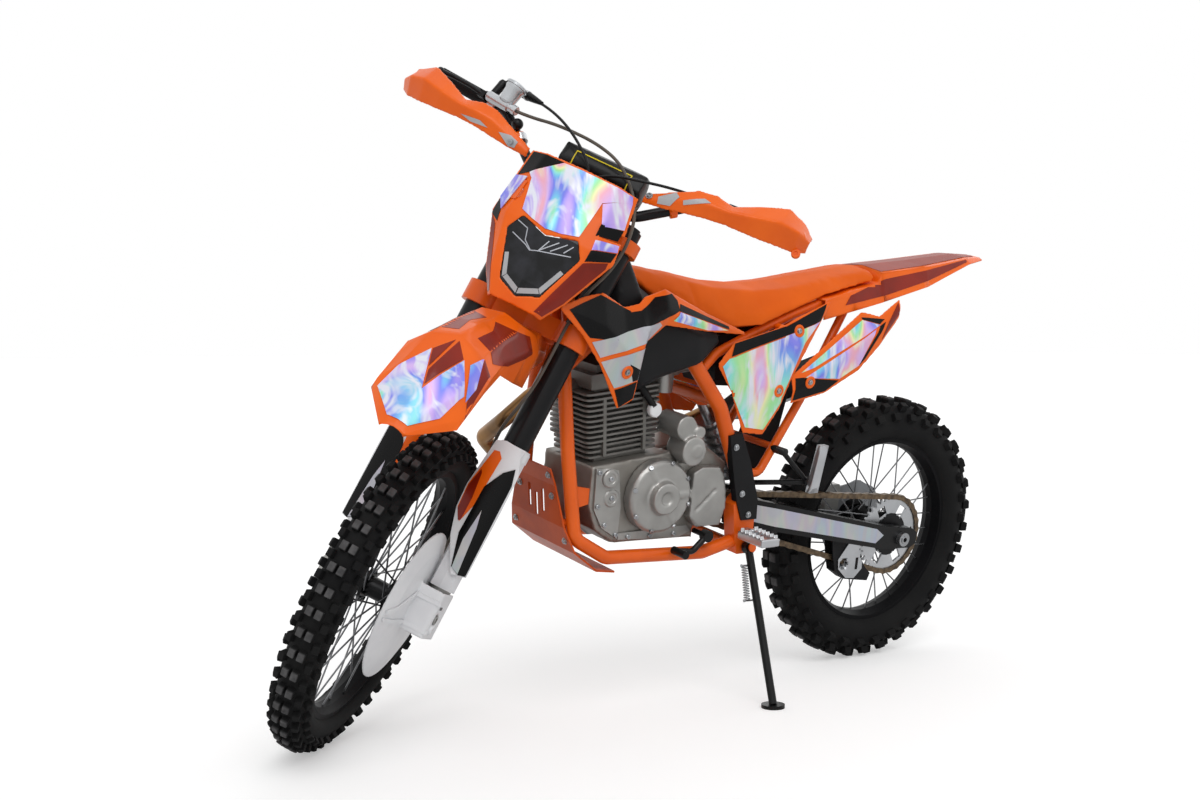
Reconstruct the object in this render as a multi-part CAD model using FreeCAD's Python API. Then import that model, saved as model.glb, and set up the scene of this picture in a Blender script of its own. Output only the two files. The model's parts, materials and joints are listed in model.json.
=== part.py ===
import FreeCAD, Part
import math
import os

# Dirt bike, parked: leaning on its side stand with the bars on their left stop.
# Millimetres. The bike is drawn upright in its own frame (X forward, Y to the rider's left, Z up,
# origin on the ground under the rear axle). The front end is drawn in the fork frame (X ahead of the
# steering axis, Z up along it) and turned to the stop. Then the whole bike is leaned over.

Vec = FreeCAD.Vector
ORIGIN = Vec(0, 0, 0)
AHEAD = Vec(1, 0, 0)
ACROSS = Vec(0, 1, 0)
UPWARD = Vec(0, 0, 1)

# Chassis geometry
WHEELBASE = 1430.0
TRAIL = 90.0
RAKE = 27.5
STEERING_LOCK = 43.0
LEAN = 9.5
SEAT_GAP = 0.3
RUNNING_GAP = 1.0

# Tyres and wheels
FRONT_TYRE_RADIUS = 348.0
FRONT_LUG_HEIGHT = 13.0
FRONT_LUG_ROWS = 34
FRONT_TREAD = [(0.0, 0.0), (12.5, 2.5), (25.0, 11.0), (34.0, 29.0)]
FRONT_RIM_RADIUS = 270.0
FRONT_RIM_HALF = 22.0
REAR_TYRE_RADIUS = 338.0
REAR_LUG_HEIGHT = 15.0
REAR_LUG_ROWS = 26
REAR_TREAD = [(0.0, 0.0), (16.0, 3.0), (31.0, 13.0), (42.0, 35.0)]
REAR_RIM_RADIUS = 235.0
REAR_RIM_HALF = 30.0
LUG_TAPER = 0.78
RIM_DEPTH = 19.0
RIM_FLOOR_HALF = 9.0
SPOKE_RADIUS = 1.8
SPOKES = 32
AXLE_RADIUS = 10.0
AXLE_BORE = 6.0
HUB_CLEARANCE = 0.05
FRONT_FLANGE_Y = 30.0
FRONT_FLANGE_RADIUS = 34.0
FRONT_HUB_HALF = 48.0
REAR_FLANGE_Y = 36.0
REAR_FLANGE_RADIUS = 48.0
REAR_HUB_HALF = 55.0
FLANGE_WIDTH = 7.0
FRONT_DISC_RADIUS = 125.0
FRONT_DISC_Y = 56.0
REAR_DISC_RADIUS = 105.0
REAR_DISC_Y = -66.0
DISC_THICKNESS = 3.5

# Fork and steering
FORK_OFFSET = 45.0
FORK_HALF_SPACING = 103.0
FORK_TUBE_RADIUS = 28.0
FORK_LEG_RADIUS = 21.0
FORK_TUBE_BOTTOM = 700.0
FORK_TOP = 1226.0
LOWER_CLAMP_W = 972.0
LOWER_CLAMP_HEIGHT = 44.0
UPPER_CLAMP_W = 1188.0
UPPER_CLAMP_HEIGHT = 28.0
CLAMP_RADIUS = 39.0
STEM_RADIUS = 14.0
STEM_BOSS_RADIUS = 30.0
HEAD_TUBE_RADIUS = 29.0
BEARING_GAP = 6.0
BAR_RADIUS = 11.0
GRIP_RADIUS = 16.0
GRIP_LENGTH = 125.0
BAR_AHEAD = 40.0
BAR_HEIGHT = 1252.0
BAR_STRAIGHT_HALF = 115.0
BAR_SHIFT = -20.0
BAR_BEND = Vec(20.0, 235.0, 1350.0)
BAR_END = Vec(-30.0, 418.0, 1376.0)
GUARD_TILT = 14.0
PAD_HALF = 95.0

# Headlight mask: height along the fork, then (ahead, across) points of its left half
MASK_LINES = [
    (958, [(178, 56), (206, 46), (214, 0)]),
    (1010, [(180, 88), (206, 70), (228, 0)]),
    (1120, [(170, 134), (206, 96), (226, 0)]),
    (1187, [(168, 127), (200, 90), (214, 0)]),
    (1262, [(172, 117), (200, 78), (208, 0)]),
]
MASK_WALL = 3.5
LENS_OPENING = [(0, 1106), (60, 1126), (79, 1094), (44, 996), (0, 976)]
LENS_INSET = -1.0
LENS_BACK = 122.0

# Frame tubes
SPAR_Y = 112.0
SPAR_RADIUS = 17.0
DOWN_TUBE_RADIUS = 15.0

# Swingarm and chain drive
# Free cables and the front brake hose, in the fork frame
HOSE_RADIUS = 3.5
CABLE_RADIUS = 3.0
HOSE_ROUTE = [Vec(55.6, -222.8, 1349.5), Vec(64, -184, 1349), Vec(69, -140, 1355), Vec(74, -92, 1356), Vec(86, -32, 1351), Vec(97, 26, 1335),
              Vec(99, 62, 1309), Vec(100, 94, 1276), Vec(102, 116, 1238), Vec(99, 126, 1182), Vec(98, 119, 1118),
              Vec(97, 96, 1060), Vec(95, 91, 985), Vec(95, 92, 915), Vec(95, 91, 850), Vec(84, 78, 795), Vec(60, 61, 742),
              Vec(22, 58, 690), Vec(-9, 60, 622), Vec(-19, 59, 545), Vec(-18, 57, 486), Vec(-18, 56, 446.5)]
THROTTLE_ROUTE = [Vec(14.2, -231.2, 1401.0), Vec(42, -185, 1391), Vec(82, -124, 1368), Vec(100, -71, 1339), Vec(104, -18, 1298),
                  Vec(95, -2, 1250), Vec(86, 0, 1212), Vec(56.6, 0, 1188)]
CLUTCH_ROUTE = [Vec(31.1, 265.0, 1357.2), Vec(62, 210, 1346), Vec(98, 150, 1329), Vec(116, 92, 1311), Vec(119, 32, 1296),
                Vec(112, -16, 1262), Vec(94, -22, 1218), Vec(60.8, -22, 1189)]
SHOCK_LOW = Vec(452.0, 0.0, 468.0)
SHOCK_HIGH = Vec(600.0, 0.0, 688.0)
SHOCK_PIN_RADIUS = 6.0
SHOCK_EYE_RADIUS = 14.0
SHOCK_EYE_HALF = 12.0
PIVOT_X = 528.0
PIVOT_Z = 430.0
ARM_INNER_Y = 84.0
ARM_WIDTH = 28.0
ARM_FRONT_Y = 93.0
ARM_FRONT_WIDTH = 16.0
CHAIN_Y = 67.0
CHAIN_PITCH = 15.875
CHAIN_WIDTH = 13.0
CHAIN_HEIGHT = 14.0
REAR_TEETH = 38
FRONT_TEETH = 13
FRONT_SPROCKET_X = 600.0
FRONT_SPROCKET_Z = 452.0
SPROCKET_THICKNESS = 6.0
FRONT_CHAIN_SIDES = 6
REAR_CHAIN_SIDES = 14

# Engine
CASE_HALF = 92.0
CASE_FRONT = 945.0
CYLINDER_X = 852.0
CYLINDER_BASE_Z = 580.0
CYLINDER_LEAN = 6.0
FIN_COUNT = 13
FIN_PITCH = 11.5
FIN_THICKNESS = 4.5
COVER_CENTRE = (775.0, 500.0)
COVER_RADIUS = 82.0
STARTER = (707.0, 600.0)
AIRBOX_FRONT = 612.0
AIRBOX_BACK = 450.0
STARTER_RADIUS = 32.0
EXHAUST_RADIUS = 17.0
EXHAUST_PORT = Vec(975.5, -6.0, 717.9)
MUFFLER_INLET = Vec(400.0, -150.0, 622.0)

# Side stand
STAND_PIVOT = Vec(530.0, 136.0, 370.0)
STAND_AXIS_TILT = 14.3
STAND_AXIS = Vec(0, math.cos(math.radians(STAND_AXIS_TILT)), math.sin(math.radians(STAND_AXIS_TILT)))
STAND_PIN_RADIUS = 6.0
STAND_EYE_RADIUS = 14.0
STAND_EYE_WIDTH = 16.0
STAND_FOOT_X = 549.0
STAND_FOOT_Y = 304.0
STAND_LEG_RADIUS = 9.0
STAND_FOOT_RADIUS = 26.0
STAND_FOOT_HEIGHT = 8.0
STAND_FOLD = 95.0


def cylinder(radius, start, end):
    """Round bar between two points."""
    run = end - start
    return Part.makeCylinder(radius, run.Length, start, run)


def tube(outer, inner, start, end):
    """Hollow round bar between two points."""
    run = end - start
    reach = run.normalize() * 1.0
    return cylinder(outer, start, end).cut(cylinder(inner, start - reach, end + reach))


def block(low, high):
    """Box from its lowest to its highest corner."""
    return Part.makeBox(high[0] - low[0], high[1] - low[1], high[2] - low[2], Vec(*low))


def mirrored(shape):
    """The same piece on the bike's other side."""
    return shape.mirror(ORIGIN, ACROSS)


def both_sides(shape):
    """A piece and its mirror image."""
    return [shape, mirrored(shape)]


def fused(shapes):
    """One solid from pieces that run into each other."""
    body = shapes[0].multiFuse(shapes[1:]) if len(shapes) > 1 else shapes[0]
    return body.removeSplitter()


def polygon_face(points):
    """Flat face with straight edges."""
    return Part.Face(Part.makePolygon(points + [points[0]]))


def side_prism(outline, y_start, y_end):
    """Outline of (x, z) points drawn on the side of the bike, extruded across it."""
    face = polygon_face([Vec(x, y_start, z) for x, z in outline])
    return face.extrude(Vec(0, y_end - y_start, 0))


def flat_prism(outline, z_start, z_end):
    """Outline of (x, y) points extruded upward."""
    face = polygon_face([Vec(x, y, z_start) for x, y in outline])
    return face.extrude(Vec(0, 0, z_end - z_start))


def bent_path(points, bend):
    """Straight runs joined by tangent arcs."""
    edges = []
    start = points[0]
    for before, corner, after in zip(points, points[1:], points[2:]):
        arrive = (corner - before).normalize()
        leave = (after - corner).normalize()
        half_turn = arrive.getAngle(leave) / 2.0
        cut = bend * math.tan(half_turn)
        first = corner - arrive * cut
        last = corner + leave * cut
        bisector = (leave - arrive).normalize()
        centre = corner + bisector * (bend / math.cos(half_turn))
        middle = centre - bisector * bend
        edges.append(Part.LineSegment(start, first).toShape())
        edges.append(Part.Arc(first, middle, last).toShape())
        start = last
    edges.append(Part.LineSegment(start, points[-1]).toShape())
    return Part.Wire(edges)


def pipe(points, radius, bend):
    """Round bar or tube that follows straight runs and bends."""
    run = points[1] - points[0]
    if len(points) == 2:
        return cylinder(radius, points[0], points[1])
    ring = Part.Wire([Part.makeCircle(radius, points[0], run)])
    return bent_path(points, bend).makePipeShell([ring], True, True)


def front_prism(outline, start, end):
    """Outline of (across, up) points seen from the front, extruded forward."""
    face = polygon_face([Vec(start, y, z) for y, z in outline])
    return face.extrude(Vec(end - start, 0, 0))


def rod_into(wall, radius, start, toward):
    """Rod from a point to the middle of the wall that it meets on its way to another point."""
    crossing = Part.LineSegment(start, toward).toShape().common(wall)
    return cylinder(radius, start, crossing.BoundBox.Center)


def closed_skin(points, wall):
    """Closed outline in a plane around an open line of (a, b) points, thickened to its right."""
    inner = []
    count = len(points)
    for index in range(count):
        before = points[max(index - 1, 0)]
        after = points[min(index + 1, count - 1)]
        here = points[index]
        normals = []
        for first, second in ((before, here), (here, after)):
            run = (second[0] - first[0], second[1] - first[1])
            length = math.hypot(*run)
            if length > 0:
                normals.append((run[1] / length, -run[0] / length))
        mean = (sum(n[0] for n in normals), sum(n[1] for n in normals))
        size = math.hypot(*mean)
        mean = (mean[0] / size, mean[1] / size)
        reach = wall / (mean[0] * normals[0][0] + mean[1] * normals[0][1])
        inner.append((here[0] + mean[0] * reach, here[1] + mean[1] * reach))
    return points + inner[::-1]


def loft_sections(sections, place):
    """Solid through closed outlines; place turns (station, a, b) into a point."""
    wires = []
    for station, outline in sections:
        points = [place(station, a, b) for a, b in outline]
        wires.append(Part.makePolygon(points + [points[0]]))
    return Part.makeLoft(wires, True, True)


def across_x(station, a, b):
    """Sections that stand across the bike, drawn as (y, z)."""
    return Vec(station, a, b)


def across_y(station, a, b):
    """Sections that stand along the bike, drawn as (x, z)."""
    return Vec(a, station, b)


def across_z(station, a, b):
    """Level sections, drawn as (x, y)."""
    return Vec(a, b, station)


def symmetric(half):
    """Closed outline from its left half, drawn from the top centre down to the bottom centre."""
    return half + [(-a, b) for a, b in half[::-1] if a > 0]


def fork_frame():
    """Placement of the fork frame, wheels straight ahead, in the upright bike."""
    return FreeCAD.Placement(Vec(WHEELBASE + TRAIL, 0, 0), FreeCAD.Rotation(ACROSS, -RAKE))


def steered_frame():
    """The fork frame turned to the left stop."""
    turn = FreeCAD.Placement(ORIGIN, FreeCAD.Rotation(UPWARD, STEERING_LOCK))
    return fork_frame().multiply(turn)


def front_axle():
    """Front axle centre in the fork frame."""
    back = fork_frame().inverse()
    return back.multVec(Vec(WHEELBASE, 0, FRONT_TYRE_RADIUS))


def ring_point(radius, across, angle):
    """Point of a wheel whose axle lies along Y."""
    return Vec(radius * math.cos(angle), across, radius * math.sin(angle))


def tyre_faces(outer_radius, lug_height, tread, rim_radius, rim_half, rows):
    """Faces of a tyre: flat carcass panels, and a tapered lug on every second one of each column."""
    base_radius = outer_radius - lug_height
    left = [(y, base_radius - drop) for y, drop in tread]
    bead_radius = rim_radius + SEAT_GAP
    profile = [(-rim_half, bead_radius)] + [(-y, r) for y, r in left[:0:-1]] + left
    profile.append((rim_half, bead_radius))
    cells = 2 * rows
    step = 2.0 * math.pi / cells
    bead_radius = bead_radius / math.cos(step / 2.0)
    profile[0] = (-rim_half, bead_radius)
    profile[-1] = (rim_half, bead_radius)
    shoulders = (1, len(profile) - 3)
    faces = []
    for cell in range(cells):
        first = (cell - 0.5) * step - math.pi / 2.0
        second = first + step
        for column in range(len(profile)):
            y_a, r_a = profile[column]
            y_b, r_b = profile[(column + 1) % len(profile)]
            quad = [ring_point(r_a, y_a, first), ring_point(r_b, y_b, first),
                    ring_point(r_b, y_b, second), ring_point(r_a, y_a, second)]
            on_tread = shoulders[0] <= column <= shoulders[1]
            on_shoulder = column in shoulders
            raised = on_tread and (cell % 2 == 1) == on_shoulder
            if raised:
                faces.extend(lug_faces(quad, lug_height))
            else:
                faces.append(polygon_face(quad))
    return faces


def lug_faces(quad, height):
    """Four sloping sides and the flat top of one tread lug."""
    centre = (quad[0] + quad[1] + quad[2] + quad[3]) * 0.25
    normal = (quad[2] - quad[0]).cross(quad[3] - quad[1]).normalize()
    radial = Vec(centre.x, 0, centre.z)
    if normal.dot(radial) < 0:
        normal = normal * -1.0
    top = [centre + (corner - centre) * LUG_TAPER + normal * height for corner in quad]
    faces = [polygon_face(top)]
    for index in range(4):
        following = (index + 1) % 4
        faces.append(polygon_face([quad[index], quad[following], top[following], top[index]]))
    return faces


def solid_from_faces(faces):
    """Closed solid from flat faces that meet edge to edge."""
    skin = Part.Compound(faces)
    skin.sewShape(0.001)
    solid = Part.makeSolid(skin.Shells[0])
    if solid.Volume < 0:
        solid.reverse()
    return solid


def wheel_profile(points):
    """Ring turned about the axle from (across, radius) points."""
    return polygon_face([Vec(radius, across, 0) for across, radius in points]).revolve(ORIGIN, ACROSS, 360)


def rim(radius, half):
    """Rim with a deep well."""
    floor = radius - RIM_DEPTH
    return wheel_profile([(-half, radius), (-half, floor + 9.0), (-RIM_FLOOR_HALF, floor),
                          (RIM_FLOOR_HALF, floor), (half, floor + 9.0), (half, radius)])


def hub(half, flange_y, flange_radius):
    """Hub with two spoke flanges."""
    barrel = flange_radius * 0.62
    inner = flange_y - FLANGE_WIDTH
    profile = [(-half, AXLE_RADIUS + HUB_CLEARANCE), (half, AXLE_RADIUS + HUB_CLEARANCE), (half, barrel * 0.8),
               (flange_y, barrel), (flange_y, flange_radius), (inner, flange_radius),
               (inner, barrel), (-inner, barrel), (-inner, flange_radius),
               (-flange_y, flange_radius), (-flange_y, barrel), (-half, barrel * 0.8)]
    return wheel_profile(profile)


def brake_disc(radius, across, petals):
    """Wave-edged brake disc with a carrier out to the hub."""
    outline = []
    for index in range(petals * 4):
        angle = 2.0 * math.pi * index / (petals * 4)
        reach = radius - (4.0 if index % 4 < 2 else 0.0)
        outline.append(Vec(reach * math.cos(angle), across - DISC_THICKNESS / 2.0, reach * math.sin(angle)))
    plate = polygon_face(outline).extrude(Vec(0, DISC_THICKNESS, 0))
    bore = cylinder(radius * 0.42, Vec(0, across - 20, 0), Vec(0, across + 20, 0))
    return plate.cut(bore)


def spokes(hub_radius, flange_y, rim_radius):
    """Crossed spokes from both flanges to the rim well, clear of hub, rim and each other."""
    bars = []
    reach = rim_radius - RIM_DEPTH - SEAT_GAP
    for index in range(SPOKES):
        side = 1.0 if index % 2 else -1.0
        lean = 1.0 if index % 4 < 2 else -1.0
        at_rim = 2.0 * math.pi * (index + 0.5) / SPOKES
        at_hub = at_rim + lean * math.radians(52.0)
        outward = 1.75 if lean > 0 else -4.2 - FLANGE_WIDTH
        start = ring_point(hub_radius - 6.0, side * (flange_y + outward + SPOKE_RADIUS + SEAT_GAP), at_hub)
        end = ring_point(reach - 0.4, side * (4.0 + 1.5 * lean), at_rim)
        bars.append(cylinder(SPOKE_RADIUS, start, end))
    return bars


def front_hub():
    """Front hub with its disc."""
    barrel = hub(FRONT_HUB_HALF, FRONT_FLANGE_Y, FRONT_FLANGE_RADIUS)
    disc = brake_disc(FRONT_DISC_RADIUS, FRONT_DISC_Y, 12)
    carrier = tube(FRONT_DISC_RADIUS * 0.45, AXLE_RADIUS + HUB_CLEARANCE, Vec(0, FRONT_HUB_HALF - 6, 0),
                   Vec(0, FRONT_DISC_Y + DISC_THICKNESS / 2.0, 0))
    return fused([barrel, disc, carrier])


def rear_hub():
    """Rear hub with its disc on the right side."""
    barrel = hub(REAR_HUB_HALF, REAR_FLANGE_Y, REAR_FLANGE_RADIUS)
    disc = brake_disc(REAR_DISC_RADIUS, REAR_DISC_Y, 10)
    carrier = tube(REAR_DISC_RADIUS * 0.45, AXLE_RADIUS + HUB_CLEARANCE, Vec(0, -REAR_HUB_HALF + 6, 0),
                   Vec(0, REAR_DISC_Y - DISC_THICKNESS / 2.0, 0))
    return fused([barrel, disc, carrier])


def sprocket_radius(teeth):
    """Pitch radius of a sprocket."""
    return CHAIN_PITCH / (2.0 * math.sin(math.pi / teeth))


def rear_sprocket():
    """Toothed ring with slots, bolted to the left end of the rear hub."""
    pitch_radius = sprocket_radius(REAR_TEETH)
    outline = []
    for tooth in range(REAR_TEETH):
        for share, reach in ((-0.34, -6.0), (-0.12, 2.5), (0.12, 2.5), (0.34, -6.0)):
            angle = 2.0 * math.pi * (tooth + share) / REAR_TEETH
            radius = pitch_radius + reach
            outline.append((radius * math.cos(angle), radius * math.sin(angle)))
    plate = side_prism(outline, CHAIN_Y - SPROCKET_THICKNESS / 2.0, CHAIN_Y + SPROCKET_THICKNESS / 2.0)
    tools = [cylinder(AXLE_RADIUS + 14.0, Vec(0, CHAIN_Y - 20, 0), Vec(0, CHAIN_Y + 20, 0))]
    for index in range(6):
        window = block((pitch_radius * 0.55, CHAIN_Y - 20, -13), (pitch_radius * 0.82, CHAIN_Y + 20, 13))
        window.rotate(ORIGIN, ACROSS, 60.0 * index)
        tools.append(window)
    return plate.cut(Part.makeCompound(tools))


def chain():
    """Chain as one loop around both sprockets: waisted link plates outside, a groove for the teeth inside."""
    rear = sprocket_radius(REAR_TEETH)
    front = sprocket_radius(FRONT_TEETH)
    outer = waisted(chain_outline(rear, front, CHAIN_HEIGHT / 2.0), 2.0 * CHAIN_PITCH, 2.2)
    inner = chain_outline(rear, front, -CHAIN_HEIGHT / 2.0)
    half = CHAIN_WIDTH / 2.0
    loop = side_prism(outer, CHAIN_Y - half, CHAIN_Y + half).cut(side_prism(inner, CHAIN_Y - half - 1, CHAIN_Y + half + 1))
    groove_half = SPROCKET_THICKNESS / 2.0 + RUNNING_GAP
    slot = side_prism(chain_outline(rear, front, 4.4), CHAIN_Y - groove_half, CHAIN_Y + groove_half)
    return loop.cut(slot)


def waisted(outline, pitch, depth):
    """Closed outline with a shallow waist in the middle of every pitch."""
    corners = [Vec(a, 0, b) for a, b in outline]
    total = sum((corners[(k + 1) % len(corners)] - corner).Length for k, corner in enumerate(corners))
    count = int(round(total / pitch))
    points = []
    for k, corner in enumerate(corners):
        run = corners[(k + 1) % len(corners)] - corner
        pieces = max(1, int(round(run.Length * count / total)))
        inward = Vec(-run.z, 0, run.x).normalize()
        for piece in range(pieces):
            points.append(corner + run * (piece / pieces))
            points.append(corner + run * ((piece + 0.5) / pieces) + inward * depth)
    return [(point.x, point.z) for point in points]


def chain_outline(rear, front, offset):
    """Belt line around both sprockets at a given distance from the pitch line."""
    rear_centre = Vec(0, 0, REAR_TYRE_RADIUS)
    front_centre = Vec(FRONT_SPROCKET_X, 0, FRONT_SPROCKET_Z)
    run = front_centre - rear_centre
    slope = math.atan2(run.z, run.x)
    spread = math.asin((rear - front) / run.Length)
    points = []
    for centre, radius, begin, end, parts in (
            (front_centre, front, slope - math.pi / 2.0 + spread, slope + math.pi / 2.0 - spread, FRONT_CHAIN_SIDES),
            (rear_centre, rear, slope + math.pi / 2.0 - spread, slope + 1.5 * math.pi + spread, REAR_CHAIN_SIDES)):
        for index in range(parts + 1):
            angle = begin + (end - begin) * index / parts
            reach = radius + offset
            points.append((centre.x + reach * math.cos(angle), centre.z + reach * math.sin(angle)))
    return points


def head_ends():
    """Lower and upper end of the head tube in the upright bike."""
    low = Vec(0, 0, LOWER_CLAMP_W + LOWER_CLAMP_HEIGHT / 2.0 + BEARING_GAP)
    high = Vec(0, 0, UPPER_CLAMP_W - UPPER_CLAMP_HEIGHT / 2.0 - BEARING_GAP)
    return fork_frame().multVec(low), fork_frame().multVec(high)


def spar(clearance=0.0):
    """Left side spar from the head tube down to the swingarm pivot."""
    low, high = head_ends()
    return pipe([(low + high) * 0.5, Vec(860, 62, 905), Vec(712, 92, 800), Vec(628, 108, 690),
                 Vec(556, SPAR_Y, 530), Vec(524, SPAR_Y, 396)], SPAR_RADIUS + clearance, 55.0)


def brace(clearance=0.0):
    """Left brace from the down tube up to the spar."""
    return pipe([Vec(1006, 48, 775), Vec(880, 62, 890)], 12.0 + clearance, 30.0)


def down_tube(clearance=0.0):
    """Left down tube and lower rail as one bent tube."""
    start = fork_frame().multVec(Vec(-18, 10, 1095))
    behind_clamp = fork_frame().multVec(Vec(-68, 26, 1010))
    return pipe([start, behind_clamp, Vec(1012, 48, 780), Vec(1003, 78, 600), Vec(985, 104, 420),
                 Vec(905, SPAR_Y, 374), Vec(640, SPAR_Y, 362), Vec(512, SPAR_Y, 392)],
                DOWN_TUBE_RADIUS + clearance, 36.0)


def main_frame():
    """Cradle frame: head tube, two side spars, twin down tubes and lower rails, and cross tubes."""
    low, high = head_ends()
    pieces = [cylinder(HEAD_TUBE_RADIUS, low, high)]
    for shape in (spar(), down_tube(), brace()):
        pieces.extend(both_sides(shape))
    for centre in (Vec(535, 0, 366), Vec(640, 0, 705), Vec(905, 0, 374)):
        pieces.append(cylinder(12.0, centre - Vec(0, SPAR_Y, 0), centre + Vec(0, SPAR_Y, 0)))
    inner = ARM_FRONT_Y + SEAT_GAP
    outer = SPAR_Y + SPAR_RADIUS
    lug = side_prism([(508, 380), (560, 380), (575, 470), (545, 500), (510, 470)], inner, outer)
    stand_lug = side_prism([(508, 354), (550, 354), (562, 400), (504, 400)], inner, outer)
    engine_mount = side_prism([(1000, 532), (1000, 476), (CASE_FRONT + SEAT_GAP, 488), (CASE_FRONT + SEAT_GAP, 522)], 80, 88)
    ear = side_prism([(590, 676), (612, 676), (648, 694), (640, 716), (600, 702), (590, 696)],
                     SHOCK_EYE_HALF + SEAT_GAP, SHOCK_EYE_HALF + 7.0)
    for shape in (lug, engine_mount, ear):
        pieces.extend(both_sides(shape))
    pieces.append(stand_lug)
    pieces.append(cylinder(SHOCK_PIN_RADIUS, SHOCK_HIGH - Vec(0, 18, 0), SHOCK_HIGH + Vec(0, 18, 0)))
    pieces.append(cylinder(STAND_PIN_RADIUS, STAND_PIVOT - STAND_AXIS * 20.0, STAND_PIVOT + STAND_AXIS * 21.0))
    pieces.append(cylinder(STAND_PIN_RADIUS + 4.0, STAND_PIVOT + STAND_AXIS * 20.0, STAND_PIVOT + STAND_AXIS * 23.0))
    reach = (high - low) * 0.1
    bore = cylinder(STEM_RADIUS + 2.0, low - reach, high + reach)
    return fused(pieces).cut(bore)


def rail(clearance=0.0):
    """Left upper rail of the subframe, under the seat and the tail."""
    return pipe([Vec(688, 96, 768), Vec(640, 89, 808), Vec(528, 86, 854.7), Vec(425, 84, 892.7), Vec(333, 80, 920),
                 Vec(258, 72, 933.6), Vec(172, 60, 950.3)], 11.0 + clearance, 40.0)


def strut(clearance=0.0):
    """Left lower strut of the subframe."""
    return pipe([Vec(562, 108, 540), Vec(476, 88, 528), Vec(374, 88, 695), Vec(240, 72, 922)], 10.0 + clearance, 26.0)


def subframe(above):
    """Rear subframe: upper rails, lower struts and cross tubes, seated on the spars and under the soft tail."""
    pieces = both_sides(rail()) + both_sides(strut())
    for x, y, z in ((212, 66, 942), (425, 84, 892.7), (440, 88, 588)):
        pieces.append(cylinder(8.0, Vec(x, -y, z), Vec(x, y, z)))
    body = fused(pieces)
    for side in both_sides(spar(SEAT_GAP)):
        body = body.cut(side)
    for cover in above:
        lowered = cover.copy()
        lowered.translate(Vec(0, 0, -SEAT_GAP))
        body = body.cut(lowered)
    return max(body.Solids, key=lambda solid: solid.Volume)


def skid_plate():
    """Bash plate ahead of the down tubes and around their lower bends, with three slots."""
    profile = closed_skin([(1034, 566), (1021.5, 530), (1009.5, 446), (991, 396), (932, 352), (884, 345.5)], -4.0)
    plate = side_prism(profile, -130, 130)
    front = front_prism(symmetric([(0, 580), (66, 580), (74, 530), (104, 440), (122, 396), (122, 300), (0, 300)]), 800, 1100)
    plate = plate.common(front)
    tools = [block((960, y - 5, 462 - drop), (1100, y + 5, 512 - drop)) for y, drop in ((-26, 0), (0, 14), (26, 0))]
    plate = plate.cut(Part.makeCompound(tools))
    boss = rod_into(plate, 8.0, Vec(988, 88, 452), Vec(1045, 88, 452)).cut(down_tube(SEAT_GAP))
    boss = max(boss.Solids, key=lambda solid: solid.BoundBox.XMax)
    return fused([plate] + both_sides(boss))


def engine_case():
    """Crankcase, cut back on the left where the front sprocket turns, with the starter's saddle on top."""
    slope = math.tan(math.radians(CYLINDER_LEAN))
    front_top = CYLINDER_BASE_Z - (CASE_FRONT - CYLINDER_X) * slope - SEAT_GAP
    rear_top = CYLINDER_BASE_Z - (742 - CYLINDER_X) * slope - SEAT_GAP
    outline = [(CASE_FRONT, front_top), (CASE_FRONT, 482), (925, 430), (880, 398), (640, 392), (585, 430), (578, 560),
               (640, 600), (742, rear_top)]
    case = side_prism(outline, -CASE_HALF, CASE_HALF)
    flange = side_prism([(CASE_FRONT - 8, 560), (CASE_FRONT - 8, 480), (918, 424), (878, 391), (640, 385), (590, 412),
                         (640, 560)], -4, 4)
    saddle = side_prism([(660, 560), (740, 560), (740, 612), (668, 606)], 60, CASE_HALF)
    recess = block((560, 50, 380), (655, CASE_HALF + 1, 530))
    half_side = math.pi / (2.0 * FRONT_CHAIN_SIDES)
    inner_radius = (sprocket_radius(FRONT_TEETH) - CHAIN_HEIGHT / 2.0) * math.cos(half_side)
    sprocket = cylinder(inner_radius - SEAT_GAP, Vec(FRONT_SPROCKET_X, 49, FRONT_SPROCKET_Z),
                        Vec(FRONT_SPROCKET_X, CHAIN_Y + CHAIN_WIDTH / 2.0, FRONT_SPROCKET_Z))
    starter = cylinder(STARTER_RADIUS + SEAT_GAP, Vec(STARTER[0], 40, STARTER[1]), Vec(STARTER[0], 150, STARTER[1]))
    tappet = cylinder(16, Vec(905, 60, 545), Vec(905, CASE_HALF + 8, 545))
    return fused([case.cut(recess).cut(starter), sprocket, saddle.cut(starter), flange, tappet])


def engine_cylinder():
    """Air-cooled barrel and head with cooling fins, inlet face and exhaust port."""
    pieces = [block((-68, -58, 0), (68, 58, 186))]
    for index in range(FIN_COUNT):
        height = 10.0 + index * FIN_PITCH
        inset = 6.0 if index < 3 else 0.0
        fin = block((-98 + inset, -76 + inset, height), (98 - inset, 76 - inset, height + FIN_THICKNESS))
        upright = [edge for edge in fin.Edges if abs(edge.tangentAt(edge.FirstParameter).z) > 0.9]
        pieces.append(fin.makeFillet(14.0, upright))
    pieces.append(block((-80, -66, 158), (80, 66, 190)))
    pieces.append(block((-58, -52, 184), (58, 52, 206)))
    pieces.append(cylinder(20.0, Vec(-20, 0, 204), Vec(-20, 0, 214)))
    pieces.append(cylinder(EXHAUST_RADIUS + 4.0, Vec(60, EXHAUST_PORT.y, 150), Vec(108, EXHAUST_PORT.y, 150)))
    for x in (-52, 52):
        pieces.append(block((x - 4, 70, 12), (x + 4, 76, 140)))
    body = fused(pieces)
    body.Placement = cylinder_frame().multiply(body.Placement)
    return body


def cylinder_frame():
    """Placement of the cylinder's base, leaning forward."""
    return FreeCAD.Placement(Vec(CYLINDER_X, 0, CYLINDER_BASE_Z), FreeCAD.Rotation(ACROSS, CYLINDER_LEAN))


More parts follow.
